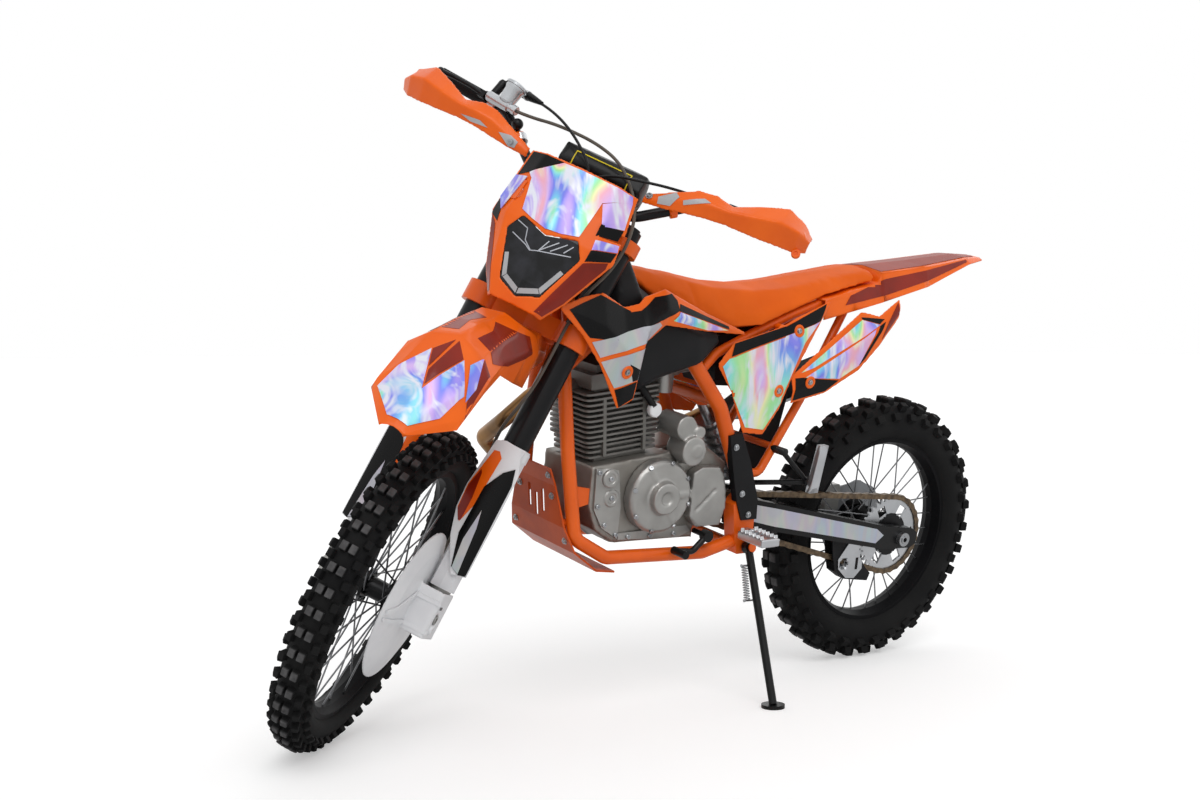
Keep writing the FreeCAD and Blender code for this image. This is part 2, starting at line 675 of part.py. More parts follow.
def round_cover(radius, start, end):
    """Domed round cover about the crankshaft's end, drawn as (radius, across) and turned."""
    depth = end - start
    profile = [(0, start), (radius, start), (radius, start + depth * 0.45), (radius - 7, start + depth * 0.62),
               (radius * 0.46, start + depth * 0.62), (radius * 0.42, end), (radius * 0.2, end),
               (radius * 0.16, end - depth * 0.12), (0, end - depth * 0.12)]
    face = polygon_face([Vec(a, b, 0) for a, b in profile])
    cover = face.revolve(ORIGIN, ACROSS, 360)
    cover.translate(Vec(COVER_CENTRE[0], 0, COVER_CENTRE[1]))
    return cover


def engine_covers():
    """Left and right side covers, sprocket cover and starter motor, each its own solid."""
    face = CASE_HALF + SEAT_GAP
    centre = Vec(COVER_CENTRE[0], 0, COVER_CENTRE[1])
    left = [round_cover(COVER_RADIUS, face, 142)]
    for degrees in (60, 178, 238):
        rib = block((COVER_RADIUS * 0.46, 110, -5), (COVER_RADIUS - 9, 126, 5))
        rib.rotate(ORIGIN, ACROSS, -degrees)
        rib.translate(centre)
        left.append(rib)
    sprocket_cover = side_prism([(688, 448), (688, 548), (664, 559), (616, 557), (602, 540), (590, 500), (588, 462),
                                 (600, 424), (668, 424)], face, 118)
    groove = side_prism([(670, 458), (676, 464), (624, 510), (616, 504)], 114, 120)
    right = mirrored(round_cover(COVER_RADIUS + 8.0, face, 134))
    starter = cylinder(STARTER_RADIUS, Vec(STARTER[0], 72, STARTER[1]), Vec(STARTER[0], 134, STARTER[1]))
    boss = cylinder(STARTER_RADIUS * 0.4, Vec(STARTER[0] - 6, 130, STARTER[1]), Vec(STARTER[0] - 6, 137, STARTER[1]))
    motor = cylinder(27, Vec(724, 40, 650), Vec(724, 122, 650))
    idler = cylinder(14, Vec(690, 90, 640), Vec(690, 128, 640))
    return [fused(left), sprocket_cover.cut(groove), right, fused([starter, boss, motor, idler])]


def carburettor():
    """Carburettor and inlet tract between the head and the airbox."""
    head_face = cylinder_frame().multVec(Vec(-80.0 - SEAT_GAP, 0, 170))
    back = Vec(AIRBOX_FRONT + SEAT_GAP, 0, head_face.z + (head_face.x - AIRBOX_FRONT) * 0.105)
    run = back - head_face
    pieces = [cylinder(15, head_face, head_face + run * 0.3), cylinder(26, head_face + run * 0.28, head_face + run * 0.62),
              cylinder(22, head_face + run * 0.6, back - Vec(5, 0, 0))]
    middle = head_face + run * 0.45
    pieces.append(cylinder(24, middle - Vec(0, 0, 58), middle))
    pieces.append(cylinder(15, middle, middle + Vec(0, 0, 44)))
    return fused(pieces).cut(block((500, -40, 600), (AIRBOX_FRONT + SEAT_GAP, 40, 900)))


def airbox():
    """Airbox between the subframe rails."""
    lines = [
        (AIRBOX_FRONT, [(0, 840), (50, 840), (60, 826), (60, 742), (48, 728), (0, 728)]),
        (528, [(0, 846), (52, 846), (62, 832), (62, 738), (50, 724), (0, 724)]),
        (AIRBOX_BACK, [(0, 868), (52, 868), (62, 850), (62, 760), (50, 744), (0, 744)]),
    ]
    return loft_sections([(x, symmetric(line)) for x, line in lines], across_x)


def exhaust_header():
    """Header pipe that loops ahead of the engine and back along the right side."""
    return pipe([EXHAUST_PORT, Vec(1045.1, -6, 710.6), Vec(1090, -40, 650), Vec(1080, -136, 590), Vec(985, -166, 505),
                 Vec(800, -166, 470), Vec(620, -160, 520), Vec(500, -152, 600), Vec(440, -150, 622), MUFFLER_INLET],
                EXHAUST_RADIUS, 30.0)


def muffler():
    """Silencer on the right side."""
    inlet = MUFFLER_INLET.x - SEAT_GAP
    return loft_sections([(inlet, hexagon(-150, 622, 24)), (330, hexagon(-151, 642, 46)), (20, hexagon(-156, 728, 50)),
                          (-30, hexagon(-156, 742, 34))], across_x)


def hexagon(y, z, radius):
    """Six-sided section about (y, z)."""
    return [(y + radius * math.cos(math.radians(60 * k + 30)) * 0.8, z + radius * math.sin(math.radians(60 * k + 30)))
            for k in range(6)]


def fuel_tank():
    """Black tank with its side bulges, under the seat nose and behind the head tube."""
    lines = [
        (966, [(0, 985), (40, 980), (64, 940), (62, 890), (58, 880), (48, 876), (0, 874)]),
        (930, [(0, 1022), (60, 1009), (112, 946), (118, 850), (96, 800), (82, 870), (0, 880)]),
        (880, [(0, 1026), (62, 1013), (120, 940), (124, 780), (98, 740), (82, 866), (0, 876)]),
        (866, [(0, 966.5), (60, 961), (120, 900), (126, 752), (98, 725), (82, 860), (0, 872)]),
        (802, [(0, 919.5), (76, 918), (114, 890), (124, 772), (98, 755), (81, 848), (0, 860)]),
        (707, [(0, 873.0), (92, 872), (110, 852), (122, 790), (98, 785), (80, 830), (0, 838)]),
        (640, [(0, 857.8), (86, 857), (96, 846), (100, 834), (92, 830), (70, 832), (0, 838)]),
    ]
    body = loft_sections([(x, symmetric(line)) for x, line in lines], across_x)
    low, high = head_ends()
    tools = both_sides(spar(SEAT_GAP)) + both_sides(brace(SEAT_GAP))
    tools.append(cylinder(HEAD_TUBE_RADIUS + 4.0, low, high))
    for tool in tools:
        body = body.cut(tool)
    return max(body.Solids, key=lambda solid: solid.Volume)


def shrouds(tank):
    """Radiator-style shrouds on both sides of the tank, on bosses that reach its sides."""
    lines = [
        (1112, [(163, 923), (167, 919), (168, 914)]),
        (1050, [(152, 940), (166, 900), (160, 862)]),
        (1000, [(148, 948), (170, 880), (160, 800)]),
        (940, [(142, 918), (172, 830), (150, 706)]),
        (900, [(138, 924), (170, 840), (150, 724)]),
        (884, [(134, 938), (164, 880), (150, 842)]),
        (828, [(128, 954), (152, 905), (142, 878)]),
        (704, [(118, 903), (134, 880), (128, 862)]),
        (590, [(119, 861), (121, 857), (120, 853)]),
    ]
    left = loft_sections([(x, closed_skin(line, 4.0)) for x, line in lines], across_x)
    spaced = tank.copy()
    spaced.translate(Vec(0, SEAT_GAP, 0))
    pieces = [left]
    for x, z in ((900, 860), (790, 892)):
        boss = rod_into(left, 9.0, Vec(x, 90, z), Vec(x, 200, z)).cut(spaced)
        pieces.append(max(boss.Solids, key=lambda solid: solid.BoundBox.YMax))
    return both_sides(fused(pieces))


def seat():
    """One-piece seat."""
    lines = [
        (862, [(0, 1000), (24, 996), (44, 984), (46, 972), (0, 968)]),
        (802, [(0, 992), (40, 984), (76, 940), (78, 921), (0, 921)]),
        (703, [(0, 968), (52, 958), (96, 900), (98, 873), (0, 873)]),
        (640, [(0, 957), (62, 946), (108, 886), (110, 859), (0, 859)]),
        (528, [(0, 951), (72, 942), (112, 890), (114, 866), (0, 866)]),
        (425, [(0, 961), (74, 950), (108, 918), (110, 904), (0, 904)]),
        (333, [(0, 977), (72, 966), (102, 946), (104, 938), (0, 938)]),
        (160, [(0, 1001), (60, 996), (78, 984), (80, 972), (0, 972)]),
    ]
    return loft_sections([(x, symmetric(line)) for x, line in lines], across_x)


def bossed(panel, carrier, spots):
    """Panel with bosses that reach from a tube to its inner face."""
    pieces = [panel]
    for x, y, z in spots:
        boss = rod_into(panel, 8.0, Vec(x, y, z), Vec(x, y + 100.0, z)).cut(carrier)
        pieces.append(max(boss.Solids, key=lambda solid: solid.BoundBox.YMax))
    return fused(pieces)


def side_panels():
    """Side number panels below the seat."""
    lines = [
        (655, [(118, 792), (121, 789), (120, 784)]),
        (612, [(116, 838), (129, 780), (124, 724)]),
        (572, [(116, 847), (133, 740), (128, 634)]),
        (512, [(117, 863), (134, 740), (128, 627)]),
        (470, [(118, 876), (133, 780), (128, 686)]),
        (443, [(118, 890), (130, 820), (126, 748)]),
        (336, [(112, 930), (114, 927), (113, 922)]),
    ]
    left = loft_sections([(x, closed_skin(line, 3.0)) for x, line in lines], across_x)
    return both_sides(bossed(left, rail(SEAT_GAP), [(575, 87, 832), (478, 85, 868)]))


def tail_panels():
    """Rear side panels below the tail."""
    lines = [
        (440, [(121, 758), (133, 726), (129, 696)]),
        (340, [(121, 832), (136, 776), (131, 718)]),
        (240, [(119, 906), (137, 838), (133, 770)]),
        (180, [(119, 896), (135, 866), (132, 828)]),
        (120, [(118, 936), (126, 918), (124, 892)]),
    ]
    left = loft_sections([(x, closed_skin(line, 3.0)) for x, line in lines], across_x)
    return both_sides(bossed(left, strut(SEAT_GAP), [(321, 82, 785), (292, 80, 834)]))


def rear_fender():
    """Long tail over the rear wheel."""
    lines = [
        (345, [(107, 884), (105, 930), (0, 930)]),
        (250, [(106, 905), (96, 950), (0, 950)]),
        (157, [(100, 924), (84, 968), (0, 968)]),
        (150, [(100, 926), (80, 990), (0, 999)]),
        (0, [(92, 962), (76, 1006), (0, 1014)]),
        (-168, [(66, 1018), (54, 1030), (0, 1034)]),
        (-240, [(40, 1026), (30, 1031), (0, 1033)]),
    ]
    sections = []
    for x, half in lines:
        line = half + [(-a, b) for a, b in half[::-1] if a > 0]
        sections.append((x, closed_skin(line, -3.0)))
    return loft_sections(sections, across_x)


def inner_mudguard():
    """Splash flap from the airbox down ahead of the rear tyre."""
    line = [(AIRBOX_BACK - SEAT_GAP, 790), (404, 770), (392, 700), (412, 600), (440, 520)]
    return side_prism(closed_skin(line, 3.0), -62, 62)


def swingarm():
    """Two arms from the pivot to the rear axle, joined ahead of the tyre, with the shock's lower mount."""
    outline = [(560, 448), (545, 462), (500, 470), (430, 458), (60, 374), (-34, 362), (-54, 350), (-54, 322), (-34, 312),
               (60, 316), (430, 392), (545, 408), (560, 416)]
    outer = ARM_INNER_Y + ARM_WIDTH
    arm = side_prism(outline, ARM_FRONT_Y - ARM_FRONT_WIDTH, outer)
    plan = flat_prism([(600, ARM_FRONT_Y - ARM_FRONT_WIDTH), (480, ARM_FRONT_Y - ARM_FRONT_WIDTH), (450, ARM_INNER_Y),
                       (-100, ARM_INNER_Y), (-100, outer), (430, outer), (488, ARM_FRONT_Y), (600, ARM_FRONT_Y)], 200, 600)
    arm = arm.common(plan)
    bridge = block((404, -ARM_INNER_Y - 2, 412), (440, ARM_INNER_Y + 2, 446))
    pivot = cylinder(18, Vec(PIVOT_X, -ARM_FRONT_Y + 2, PIVOT_Z), Vec(PIVOT_X, ARM_FRONT_Y - 2, PIVOT_Z))
    ear = side_prism([(410, 440), (440, 434), (466, 458), (464, 478), (446, 482), (424, 462)],
                     SHOCK_EYE_HALF + SEAT_GAP, SHOCK_EYE_HALF + 7.0)
    pin = cylinder(SHOCK_PIN_RADIUS, SHOCK_LOW - Vec(0, 18, 0), SHOCK_LOW + Vec(0, 18, 0))
    body = fused(both_sides(arm) + [bridge, pivot, pin] + both_sides(ear))
    axle = cylinder(AXLE_RADIUS + HUB_CLEARANCE, Vec(0, -150, REAR_TYRE_RADIUS), Vec(0, 150, REAR_TYRE_RADIUS))
    return body.cut(axle)


def rear_axle():
    """Hollow rear axle with its end washers."""
    half = ARM_INNER_Y + ARM_WIDTH
    shaft = cylinder(AXLE_RADIUS, Vec(0, -half - 14, REAR_TYRE_RADIUS), Vec(0, half + 14, REAR_TYRE_RADIUS))
    head = cylinder(17.0, Vec(0, half + SEAT_GAP, REAR_TYRE_RADIUS), Vec(0, half + 12, REAR_TYRE_RADIUS))
    bore = cylinder(AXLE_BORE, Vec(0, -half - 20, REAR_TYRE_RADIUS), Vec(0, half + 20, REAR_TYRE_RADIUS))
    return fused([shaft, head, mirrored(head)]).cut(bore)


def rear_shock():
    """Shock absorber with its coil spring, on a pin at each end."""
    along = (SHOCK_HIGH - SHOCK_LOW).normalize()
    length = (SHOCK_HIGH - SHOCK_LOW).Length
    profile = [(0, 8), (10.5, 8), (10.5, 52), (34, 52), (34, 58)]
    coils = 6
    step = (length - 120.0) / coils
    for index in range(coils):
        base = 58.0 + index * step
        profile.extend([(34, base + step * 0.2), (34, base + step * 0.6), (26, base + step * 0.72), (26, base + step * 0.98)])
    profile.extend([(34, length - 62), (34, length - 56), (10.5, length - 56), (10.5, length - 8), (0, length - 8)])
    body = polygon_face([Vec(a, 0, b) for a, b in profile]).revolve(ORIGIN, UPWARD, 360)
    body.Placement = FreeCAD.Placement(SHOCK_LOW, FreeCAD.Rotation(UPWARD, along))
    pieces = [body]
    for end in (SHOCK_LOW, SHOCK_HIGH):
        pieces.append(cylinder(SHOCK_EYE_RADIUS, end - Vec(0, SHOCK_EYE_HALF, 0), end + Vec(0, SHOCK_EYE_HALF, 0)))
    unit = fused(pieces)
    for end in (SHOCK_LOW, SHOCK_HIGH):
        unit = unit.cut(cylinder(SHOCK_PIN_RADIUS + HUB_CLEARANCE, end - Vec(0, 40, 0), end + Vec(0, 40, 0)))
    return unit


def footpegs():
    """Rider's folding footpegs on both sides, with teeth along their upper edges."""
    peg = block((514, 142, 396), (566, 226, 414))
    window = block((526, 150, 380), (554, 218, 430))
    stem = cylinder(10, Vec(530, SPAR_Y + SPAR_RADIUS + SEAT_GAP, 406), Vec(530, 146, 406))
    pieces = [peg.cut(window), stem]
    for index in range(6):
        y = 146.0 + index * 13.0
        for x in (514, 554):
            pieces.append(front_prism([(y, 410), (y + 10, 410), (y + 5, 423)], x, x + 12))
    return both_sides(fused(pieces))


def foot_controls():
    """Gear lever on the left and brake pedal on the right."""
    shaft = cylinder(6, Vec(652, CASE_HALF + SEAT_GAP, 408), Vec(652, 146, 408))
    boss = cylinder(13, Vec(652, 128, 408), Vec(652, 146, 408))
    lever = pipe([Vec(652, 138, 408), Vec(690, 140, 376), Vec(738, 142, 382)], 7.0, 18.0)
    pad = cylinder(9, Vec(738, 134, 382), Vec(738, 178, 382))
    pedal = pipe([Vec(575, -150, 377), Vec(690, -150, 352), Vec(800, -152, 388)], 7.0, 40.0)
    pivot = cylinder(9, Vec(575, -SPAR_Y - DOWN_TUBE_RADIUS - SEAT_GAP, 377), Vec(575, -158, 377))
    tread = block((780, -180, 382), (822, -146, 394))
    return [fused([shaft, boss, lever, pad]), fused([pedal, pivot, tread])]


def passenger_pegs():
    """Left passenger peg, folded up, on its rod bracket between the strut and the frame."""
    pivot = Vec(354, 124, 508)
    upper = Vec(442, 124, 585)
    rods = [cylinder(6, pivot, upper), cylinder(6, pivot, Vec(545, 100, 513)),
            cylinder(12, pivot - Vec(0, 9, 0), pivot + Vec(0, 9, 0))]
    bolt = cylinder(9, Vec(442, 90, 585), Vec(442, 134, 585)).cut(strut(SEAT_GAP))
    rods.append(max(bolt.Solids, key=lambda solid: solid.BoundBox.YMax))
    bracket = fused(rods).cut(spar(SEAT_GAP))
    bracket = max(bracket.Solids, key=lambda solid: solid.Volume)
    hinge = pivot + Vec(0, 9.0 + SEAT_GAP, 0)
    peg = [cylinder(11, hinge, hinge + Vec(0, 18, 0)),
           loft_sections([(488, [(341, 136), (368, 136), (368, 150), (341, 150)]),
                          (602, [(336, 146), (358, 146), (358, 162), (336, 162)])], across_z)]
    return [bracket, fused(peg)]


def frame_guards():
    """Black guards bolted over the spars above the footpegs."""
    outline = [(610, 630), (576, 636), (541, 566), (509, 480), (506, 434), (551, 434), (571, 480), (592, 556)]
    start = SPAR_Y + SPAR_RADIUS + SEAT_GAP
    guard = side_prism(outline, start - 14.0, start + 4.0)
    guard = guard.cut(spar(SEAT_GAP))
    lug = side_prism([(500, 380), (562, 380), (578, 470), (545, 503), (500, 472)], ARM_FRONT_Y, start)
    guard = guard.cut(lug)
    return both_sides(max(guard.Solids, key=lambda solid: solid.Volume))


def chain_guide():
    """Guide around the chain's lower run, carried by the inner face of the left arm."""
    inner = CHAIN_Y - CHAIN_WIDTH / 2.0 - 8.0
    outer = CHAIN_Y + CHAIN_WIDTH / 2.0 + 8.0
    outline = [(206, 350), (110, 330), (96, 288), (62, 246), (70, 228), (150, 240), (184, 262), (196, 300)]
    body = side_prism(outline, inner, outer)
    rear = sprocket_radius(REAR_TEETH)
    front = sprocket_radius(FRONT_TEETH)
    tunnel = side_prism(chain_outline(rear, front, CHAIN_HEIGHT / 2.0 + 3.0), inner + 4.0, outer - 4.0)
    arc_keep = cylinder(rear + 14.0, Vec(0, inner - 1, REAR_TYRE_RADIUS), Vec(0, outer + 1, REAR_TYRE_RADIUS))
    window = cylinder(12, Vec(160, outer - 6, 280), Vec(160, outer + 1, 280))
    lug = block((150, outer - 2.0, 340), (190, ARM_INNER_Y - SEAT_GAP, 356))
    body = fused([body, lug]).cut(tunnel).cut(arc_keep).cut(window)
    return max(body.Solids, key=lambda solid: solid.Volume)


def rear_caliper():
    """Rear brake caliper over the disc, on the right arm's inner face."""
    body = block((64, -ARM_INNER_Y + SEAT_GAP, 372), (110, -53, 440))
    edges = [edge for edge in body.Edges if abs(edge.tangentAt(edge.FirstParameter).y) > 0.9]
    body = body.makeFillet(8.0, edges)
    keep = cylinder(REAR_DISC_RADIUS + 5, Vec(0, REAR_DISC_Y - 5, REAR_TYRE_RADIUS), Vec(0, REAR_DISC_Y + 5, REAR_TYRE_RADIUS))
    return body.cut(keep)


def triple_clamps():
    """Lower and upper clamps on the steering stem."""
    pieces = [cylinder(STEM_RADIUS, Vec(0, 0, LOWER_CLAMP_W - 20), Vec(0, 0, UPPER_CLAMP_W + 18))]
    for centre, height in ((LOWER_CLAMP_W, LOWER_CLAMP_HEIGHT), (UPPER_CLAMP_W, UPPER_CLAMP_HEIGHT)):
        low = centre - height / 2.0
        high = centre + height / 2.0
        arm = flat_prism([(-24, -34), (-24, 34), (FORK_OFFSET - 24, FORK_HALF_SPACING), (FORK_OFFSET + 26, FORK_HALF_SPACING),
                          (FORK_OFFSET + 10, 0), (FORK_OFFSET + 26, -FORK_HALF_SPACING),
                          (FORK_OFFSET - 24, -FORK_HALF_SPACING)], low, high)
        pieces.append(arm)
        pieces.append(cylinder(STEM_BOSS_RADIUS, Vec(0, 0, low), Vec(0, 0, high)))
        for side in (-1, 1):
            centre_y = side * FORK_HALF_SPACING
            pieces.append(cylinder(CLAMP_RADIUS, Vec(FORK_OFFSET, centre_y, low), Vec(FORK_OFFSET, centre_y, high)))
    body = fused(pieces)
    for side in (-1, 1):
        centre_y = side * FORK_HALF_SPACING
        body = body.cut(cylinder(FORK_TUBE_RADIUS + SEAT_GAP, Vec(FORK_OFFSET, centre_y, 900),
                                 Vec(FORK_OFFSET, centre_y, 1300)))
    return body


def fork_tubes():
    """Black upper fork tubes with their caps."""
    upper = tube(FORK_TUBE_RADIUS, FORK_LEG_RADIUS + SEAT_GAP, Vec(FORK_OFFSET, FORK_HALF_SPACING, FORK_TUBE_BOTTOM),
                 Vec(FORK_OFFSET, FORK_HALF_SPACING, FORK_TOP))
    cap = cylinder(FORK_TUBE_RADIUS - 5.0, Vec(FORK_OFFSET, FORK_HALF_SPACING, FORK_TOP - 14), Vec(FORK_OFFSET, FORK_HALF_SPACING, FORK_TOP + 6))
    return both_sides(fused([upper, cap]))


def fork_legs():
    """Lower fork legs with the axle lugs, and the hollow front axle."""
    axle = front_axle()
    leg = cylinder(FORK_LEG_RADIUS, Vec(FORK_OFFSET, FORK_HALF_SPACING, axle.z - 30), Vec(FORK_OFFSET, FORK_HALF_SPACING, FORK_TUBE_BOTTOM + 300))
    lug = block((FORK_OFFSET - 22, FORK_HALF_SPACING - 22, axle.z - 36), (axle.x + 26, FORK_HALF_SPACING + 20, axle.z + 34))
    spindle = cylinder(AXLE_RADIUS, Vec(axle.x, 0, axle.z), Vec(axle.x, FORK_HALF_SPACING + 28, axle.z))
    side = fused([leg, lug, spindle])
    body = fused([side, mirrored(side)])
    bore = cylinder(AXLE_BORE, Vec(axle.x, -200, axle.z), Vec(axle.x, 200, axle.z))
    return body.cut(bore)


def fork_guards():
    """Guards ahead of the lower legs, each clipped around the end of its upper tube."""
    axle = front_axle()
    front = FORK_OFFSET + FORK_LEG_RADIUS
    low = [(front - 14, 132), (front + 7, 124), (front + 10, 104), (front + 7, 84), (front - 14, 76)]
    high = [(front - 20, 137), (front + 7, 130), (front + 13, 104), (front + 7, 78), (front - 20, 71)]
    sections = [(axle.z + 60, closed_skin(low, 3.0)), (axle.z + 220, closed_skin(low, 3.0)),
                (FORK_TUBE_BOTTOM - 40, closed_skin(high, 3.0)), (FORK_TUBE_BOTTOM + 26, closed_skin(high, 3.0))]
    guard = loft_sections(sections, across_z)
    leg_top = Vec(FORK_OFFSET, FORK_HALF_SPACING, FORK_TUBE_BOTTOM + 22)
    clip = cylinder(FORK_TUBE_RADIUS + 7.0, leg_top - Vec(0, 0, 20), leg_top)
    keep = cylinder(FORK_TUBE_RADIUS + SEAT_GAP, leg_top - Vec(0, 0, 60), leg_top + Vec(0, 0, 60))
    return both_sides(fused([guard, clip]).cut(keep))


def cord(points, radius):
    """Free cable or hose through its route's points, with arcs as wide as the runs allow."""
    pieces = []
    start = points[0]
    for before, corner, after in zip(points, points[1:], points[2:]):
        arriving = corner - before
        leaving = after - corner
        half_turn = arriving.getAngle(leaving) / 2.0
        cut = 0.45 * min(arriving.Length, leaving.Length)
        into = corner - arriving * (cut / arriving.Length)
        away = corner + leaving * (cut / leaving.Length)
        reach = cut / math.tan(half_turn)
        print("cord arc radius", round(reach, 1))
        bisector = (away - corner).normalize() + (into - corner).normalize()
        centre = corner + bisector.normalize() * math.hypot(cut, reach)
        middle = centre + (corner - centre).normalize() * reach
        pieces.append(Part.LineSegment(start, into).toShape())
        pieces.append(Part.Arc(into, middle, away).toShape())
        start = away
    pieces.append(Part.LineSegment(start, points[-1]).toShape())
    spine = Part.Wire(pieces)
    ring = Part.Wire([Part.Circle(points[0], points[1] - points[0], radius).toShape()])
    return spine.makePipeShell([ring], True, False)


def disc_guard():
    """Dished guard over the front disc, closed around the foot of the left leg."""
    axle = front_axle()
    profile = [(59.5, 158), (63, 158), (75, 116), (77, 30), (74, 30), (72, 114), (59.5, 154)]
    dish = wheel_profile(profile)
    dish.translate(axle)
    boot = block((FORK_OFFSET - 27, 74, axle.z - 42), (axle.x + 31, FORK_HALF_SPACING + 26, axle.z + 56))
    upright = [edge for edge in boot.Edges if abs(edge.tangentAt(edge.FirstParameter).z) > 0.9]
    boot = boot.makeFillet(10.0, upright)
    room = block((FORK_OFFSET - 22 - SEAT_GAP, 60, axle.z - 36 - SEAT_GAP),
                 (axle.x + 26 + SEAT_GAP, FORK_HALF_SPACING + 21 + SEAT_GAP, axle.z + 100))
    spindle = cylinder(AXLE_RADIUS + 2.0, Vec(axle.x, 50, axle.z), Vec(axle.x, 200, axle.z))
    dish = dish.cut(block((-120, 50, axle.z - 30), (FORK_OFFSET - 18, 90, axle.z + 200)))
    bracket_room = block((-120, 50, axle.z + 28), (FORK_OFFSET - 18, 112, axle.z + 200))
    return fused([dish, boot.cut(room)]).cut(spindle).cut(bracket_room)


def front_caliper():
    """Front brake caliper behind the left leg, over the disc."""
    axle = front_axle()
    body = block((-46, 40, axle.z + 20), (12, 72, axle.z + 96))
    edges = [edge for edge in body.Edges if abs(edge.tangentAt(edge.FirstParameter).y) > 0.9]
    body = body.makeFillet(9.0, edges)
    keep = cylinder(FRONT_DISC_RADIUS + 5, Vec(axle.x, FRONT_DISC_Y - 5, axle.z), Vec(axle.x, FRONT_DISC_Y + 5, axle.z))
    bracket = block((-2, 66, axle.z + 30), (24, FORK_HALF_SPACING + 8, axle.z + 80))
    leg = cylinder(FORK_LEG_RADIUS + SEAT_GAP, Vec(FORK_OFFSET, FORK_HALF_SPACING, axle.z - 30),
                   Vec(FORK_OFFSET, FORK_HALF_SPACING, axle.z + 300))
    lug = block((FORK_OFFSET - 22 - SEAT_GAP, 70, axle.z - 40), (axle.x + 30, 140, axle.z + 34 + SEAT_GAP))
    return fused([body.cut(keep), bracket]).cut(leg).cut(lug)


def front_fender():
    """Drooping beak, bolted flat under the lower clamp."""
    under_clamp = LOWER_CLAMP_W - LOWER_CLAMP_HEIGHT / 2.0 - SEAT_GAP
    lines = [
        (-4, [(60, 912), (58, 930), (48, under_clamp), (0, under_clamp)]),
        (78, [(66, 880), (62, 918), (48, under_clamp), (0, under_clamp)]),
        (112, [(74, 832), (72, 904), (50, 940), (0, 946)]),
        (220, [(80, 822), (76, 892), (46, 928), (0, 938)]),
        (330, [(76, 815), (72, 842), (50, 874), (0, 890)]),
        (418, [(87, 765), (84, 788), (55, 820), (0, 838)]),
        (470, [(87, 682), (85, 702), (60, 738), (0, 762)]),
        (530, [(26, 630), (22, 634), (12, 638), (0, 640)]),
    ]
    sections = []
    for ahead, half in lines:
        line = half + [(-a, b) for a, b in half[::-1] if a > 0]
        sections.append((ahead, closed_skin(line, -3.5)))
    return loft_sections(sections, across_x)


def headlight_mask():
    """Faceted headlight mask with the lamp's opening, side slots and brackets to the fork tubes."""
    sections = []
    for up, half in MASK_LINES:
        line = half + [(a, -b) for a, b in half[::-1] if b > 0]
        sections.append((up, closed_skin(line, -MASK_WALL)))
    skin = loft_sections(sections, across_z)
    slot = front_prism([(150, 1184), (86, 1174), (90, 1154), (150, 1172)], 100, 260)
    mask = skin.cut(front_prism(symmetric(LENS_OPENING), 100, 260)).cut(slot).cut(mirrored(slot))
    pieces = [mask]
    bracket = rod_into(skin, 6.0, Vec(FORK_OFFSET, FORK_HALF_SPACING, 1212), Vec(FORK_OFFSET + 180, 100, 1212))
    pieces.extend(both_sides(bracket))
    body = fused(pieces)
    for side in (-1, 1):
        centre_y = side * FORK_HALF_SPACING
        body = body.cut(cylinder(FORK_TUBE_RADIUS + SEAT_GAP, Vec(FORK_OFFSET, centre_y, 900), Vec(FORK_OFFSET, centre_y, 1300)))
    return max(body.Solids, key=lambda solid: solid.Volume)


def headlight():
    """Lamp unit that fills the mask's opening."""
    sections = []
    for up, half in MASK_LINES:
        line = [(a - LENS_INSET, b) for a, b in half] + [(a - LENS_INSET, -b) for a, b in half[::-1] if b > 0]
        sections.append((up, line + [(LENS_BACK, -half[0][1]), (LENS_BACK, half[0][1])]))
    body = loft_sections(sections, across_z)
    middle = (LENS_OPENING[0][1] + LENS_OPENING[-1][1]) / 2.0
    shrink = 1.0 - 2.0 * SEAT_GAP / (LENS_OPENING[0][1] - LENS_OPENING[-1][1])
    outline = [(y * shrink, middle + (z - middle) * shrink) for y, z in LENS_OPENING]
    return body.common(front_prism(symmetric(outline), 100, 260))


def slid(shape):
    """A piece of the bar, slid sideways in its clamps."""
    return placed(shape, FreeCAD.Placement(Vec(0, BAR_SHIFT, 0), FreeCAD.Rotation()))


def handlebar():
    """Handlebar, raised and swept back to the grips."""
    half = [Vec(BAR_AHEAD, BAR_STRAIGHT_HALF, BAR_HEIGHT), BAR_BEND, BAR_END]
    right = [Vec(point.x, -point.y, point.z) for point in half[::-1]]
    return slid(pipe(right + half, BAR_RADIUS, 60.0))


def bar_clamp():
    """Posts that carry the bar on the upper clamp."""
    base = UPPER_CLAMP_W + UPPER_CLAMP_HEIGHT / 2.0 + SEAT_GAP
    posts = [block((BAR_AHEAD - 18, y - 15, base), (BAR_AHEAD + 18, y + 15, BAR_HEIGHT + 20)) for y in (-50, 50)]
    bore = cylinder(BAR_RADIUS + SEAT_GAP, Vec(BAR_AHEAD, -200, BAR_HEIGHT), Vec(BAR_AHEAD, 200, BAR_HEIGHT))
    return [post.cut(bore) for post in posts]


def bar_pad():
    """Foam pad on top of the bar clamps."""
    base = BAR_HEIGHT + 20.0 + SEAT_GAP
    outline = [(6, base), (70, base), (82, base + 24), (70, base + 66), (28, base + 72), (2, base + 40)]
    return side_prism(outline, -PAD_HALF, PAD_HALF)


def grips():
    """Rubber grips over the bar ends."""
    along = (BAR_END - BAR_BEND).normalize()
    grip = tube(GRIP_RADIUS, BAR_RADIUS + SEAT_GAP, BAR_END - along * GRIP_LENGTH, BAR_END)
    return [slid(piece) for piece in both_sides(grip)]


def control_frame():
    """Placement at the inner end of the left grip: X ahead, Y outward along the bar, Z up."""
    along = (BAR_END - BAR_BEND).normalize()
    up = AHEAD.cross(along).normalize()
    ahead = along.cross(up).normalize()
    turn = FreeCAD.Rotation(ahead, along, up, "XYZ")
    return FreeCAD.Placement(BAR_END - along * (GRIP_LENGTH + 20.0), turn)


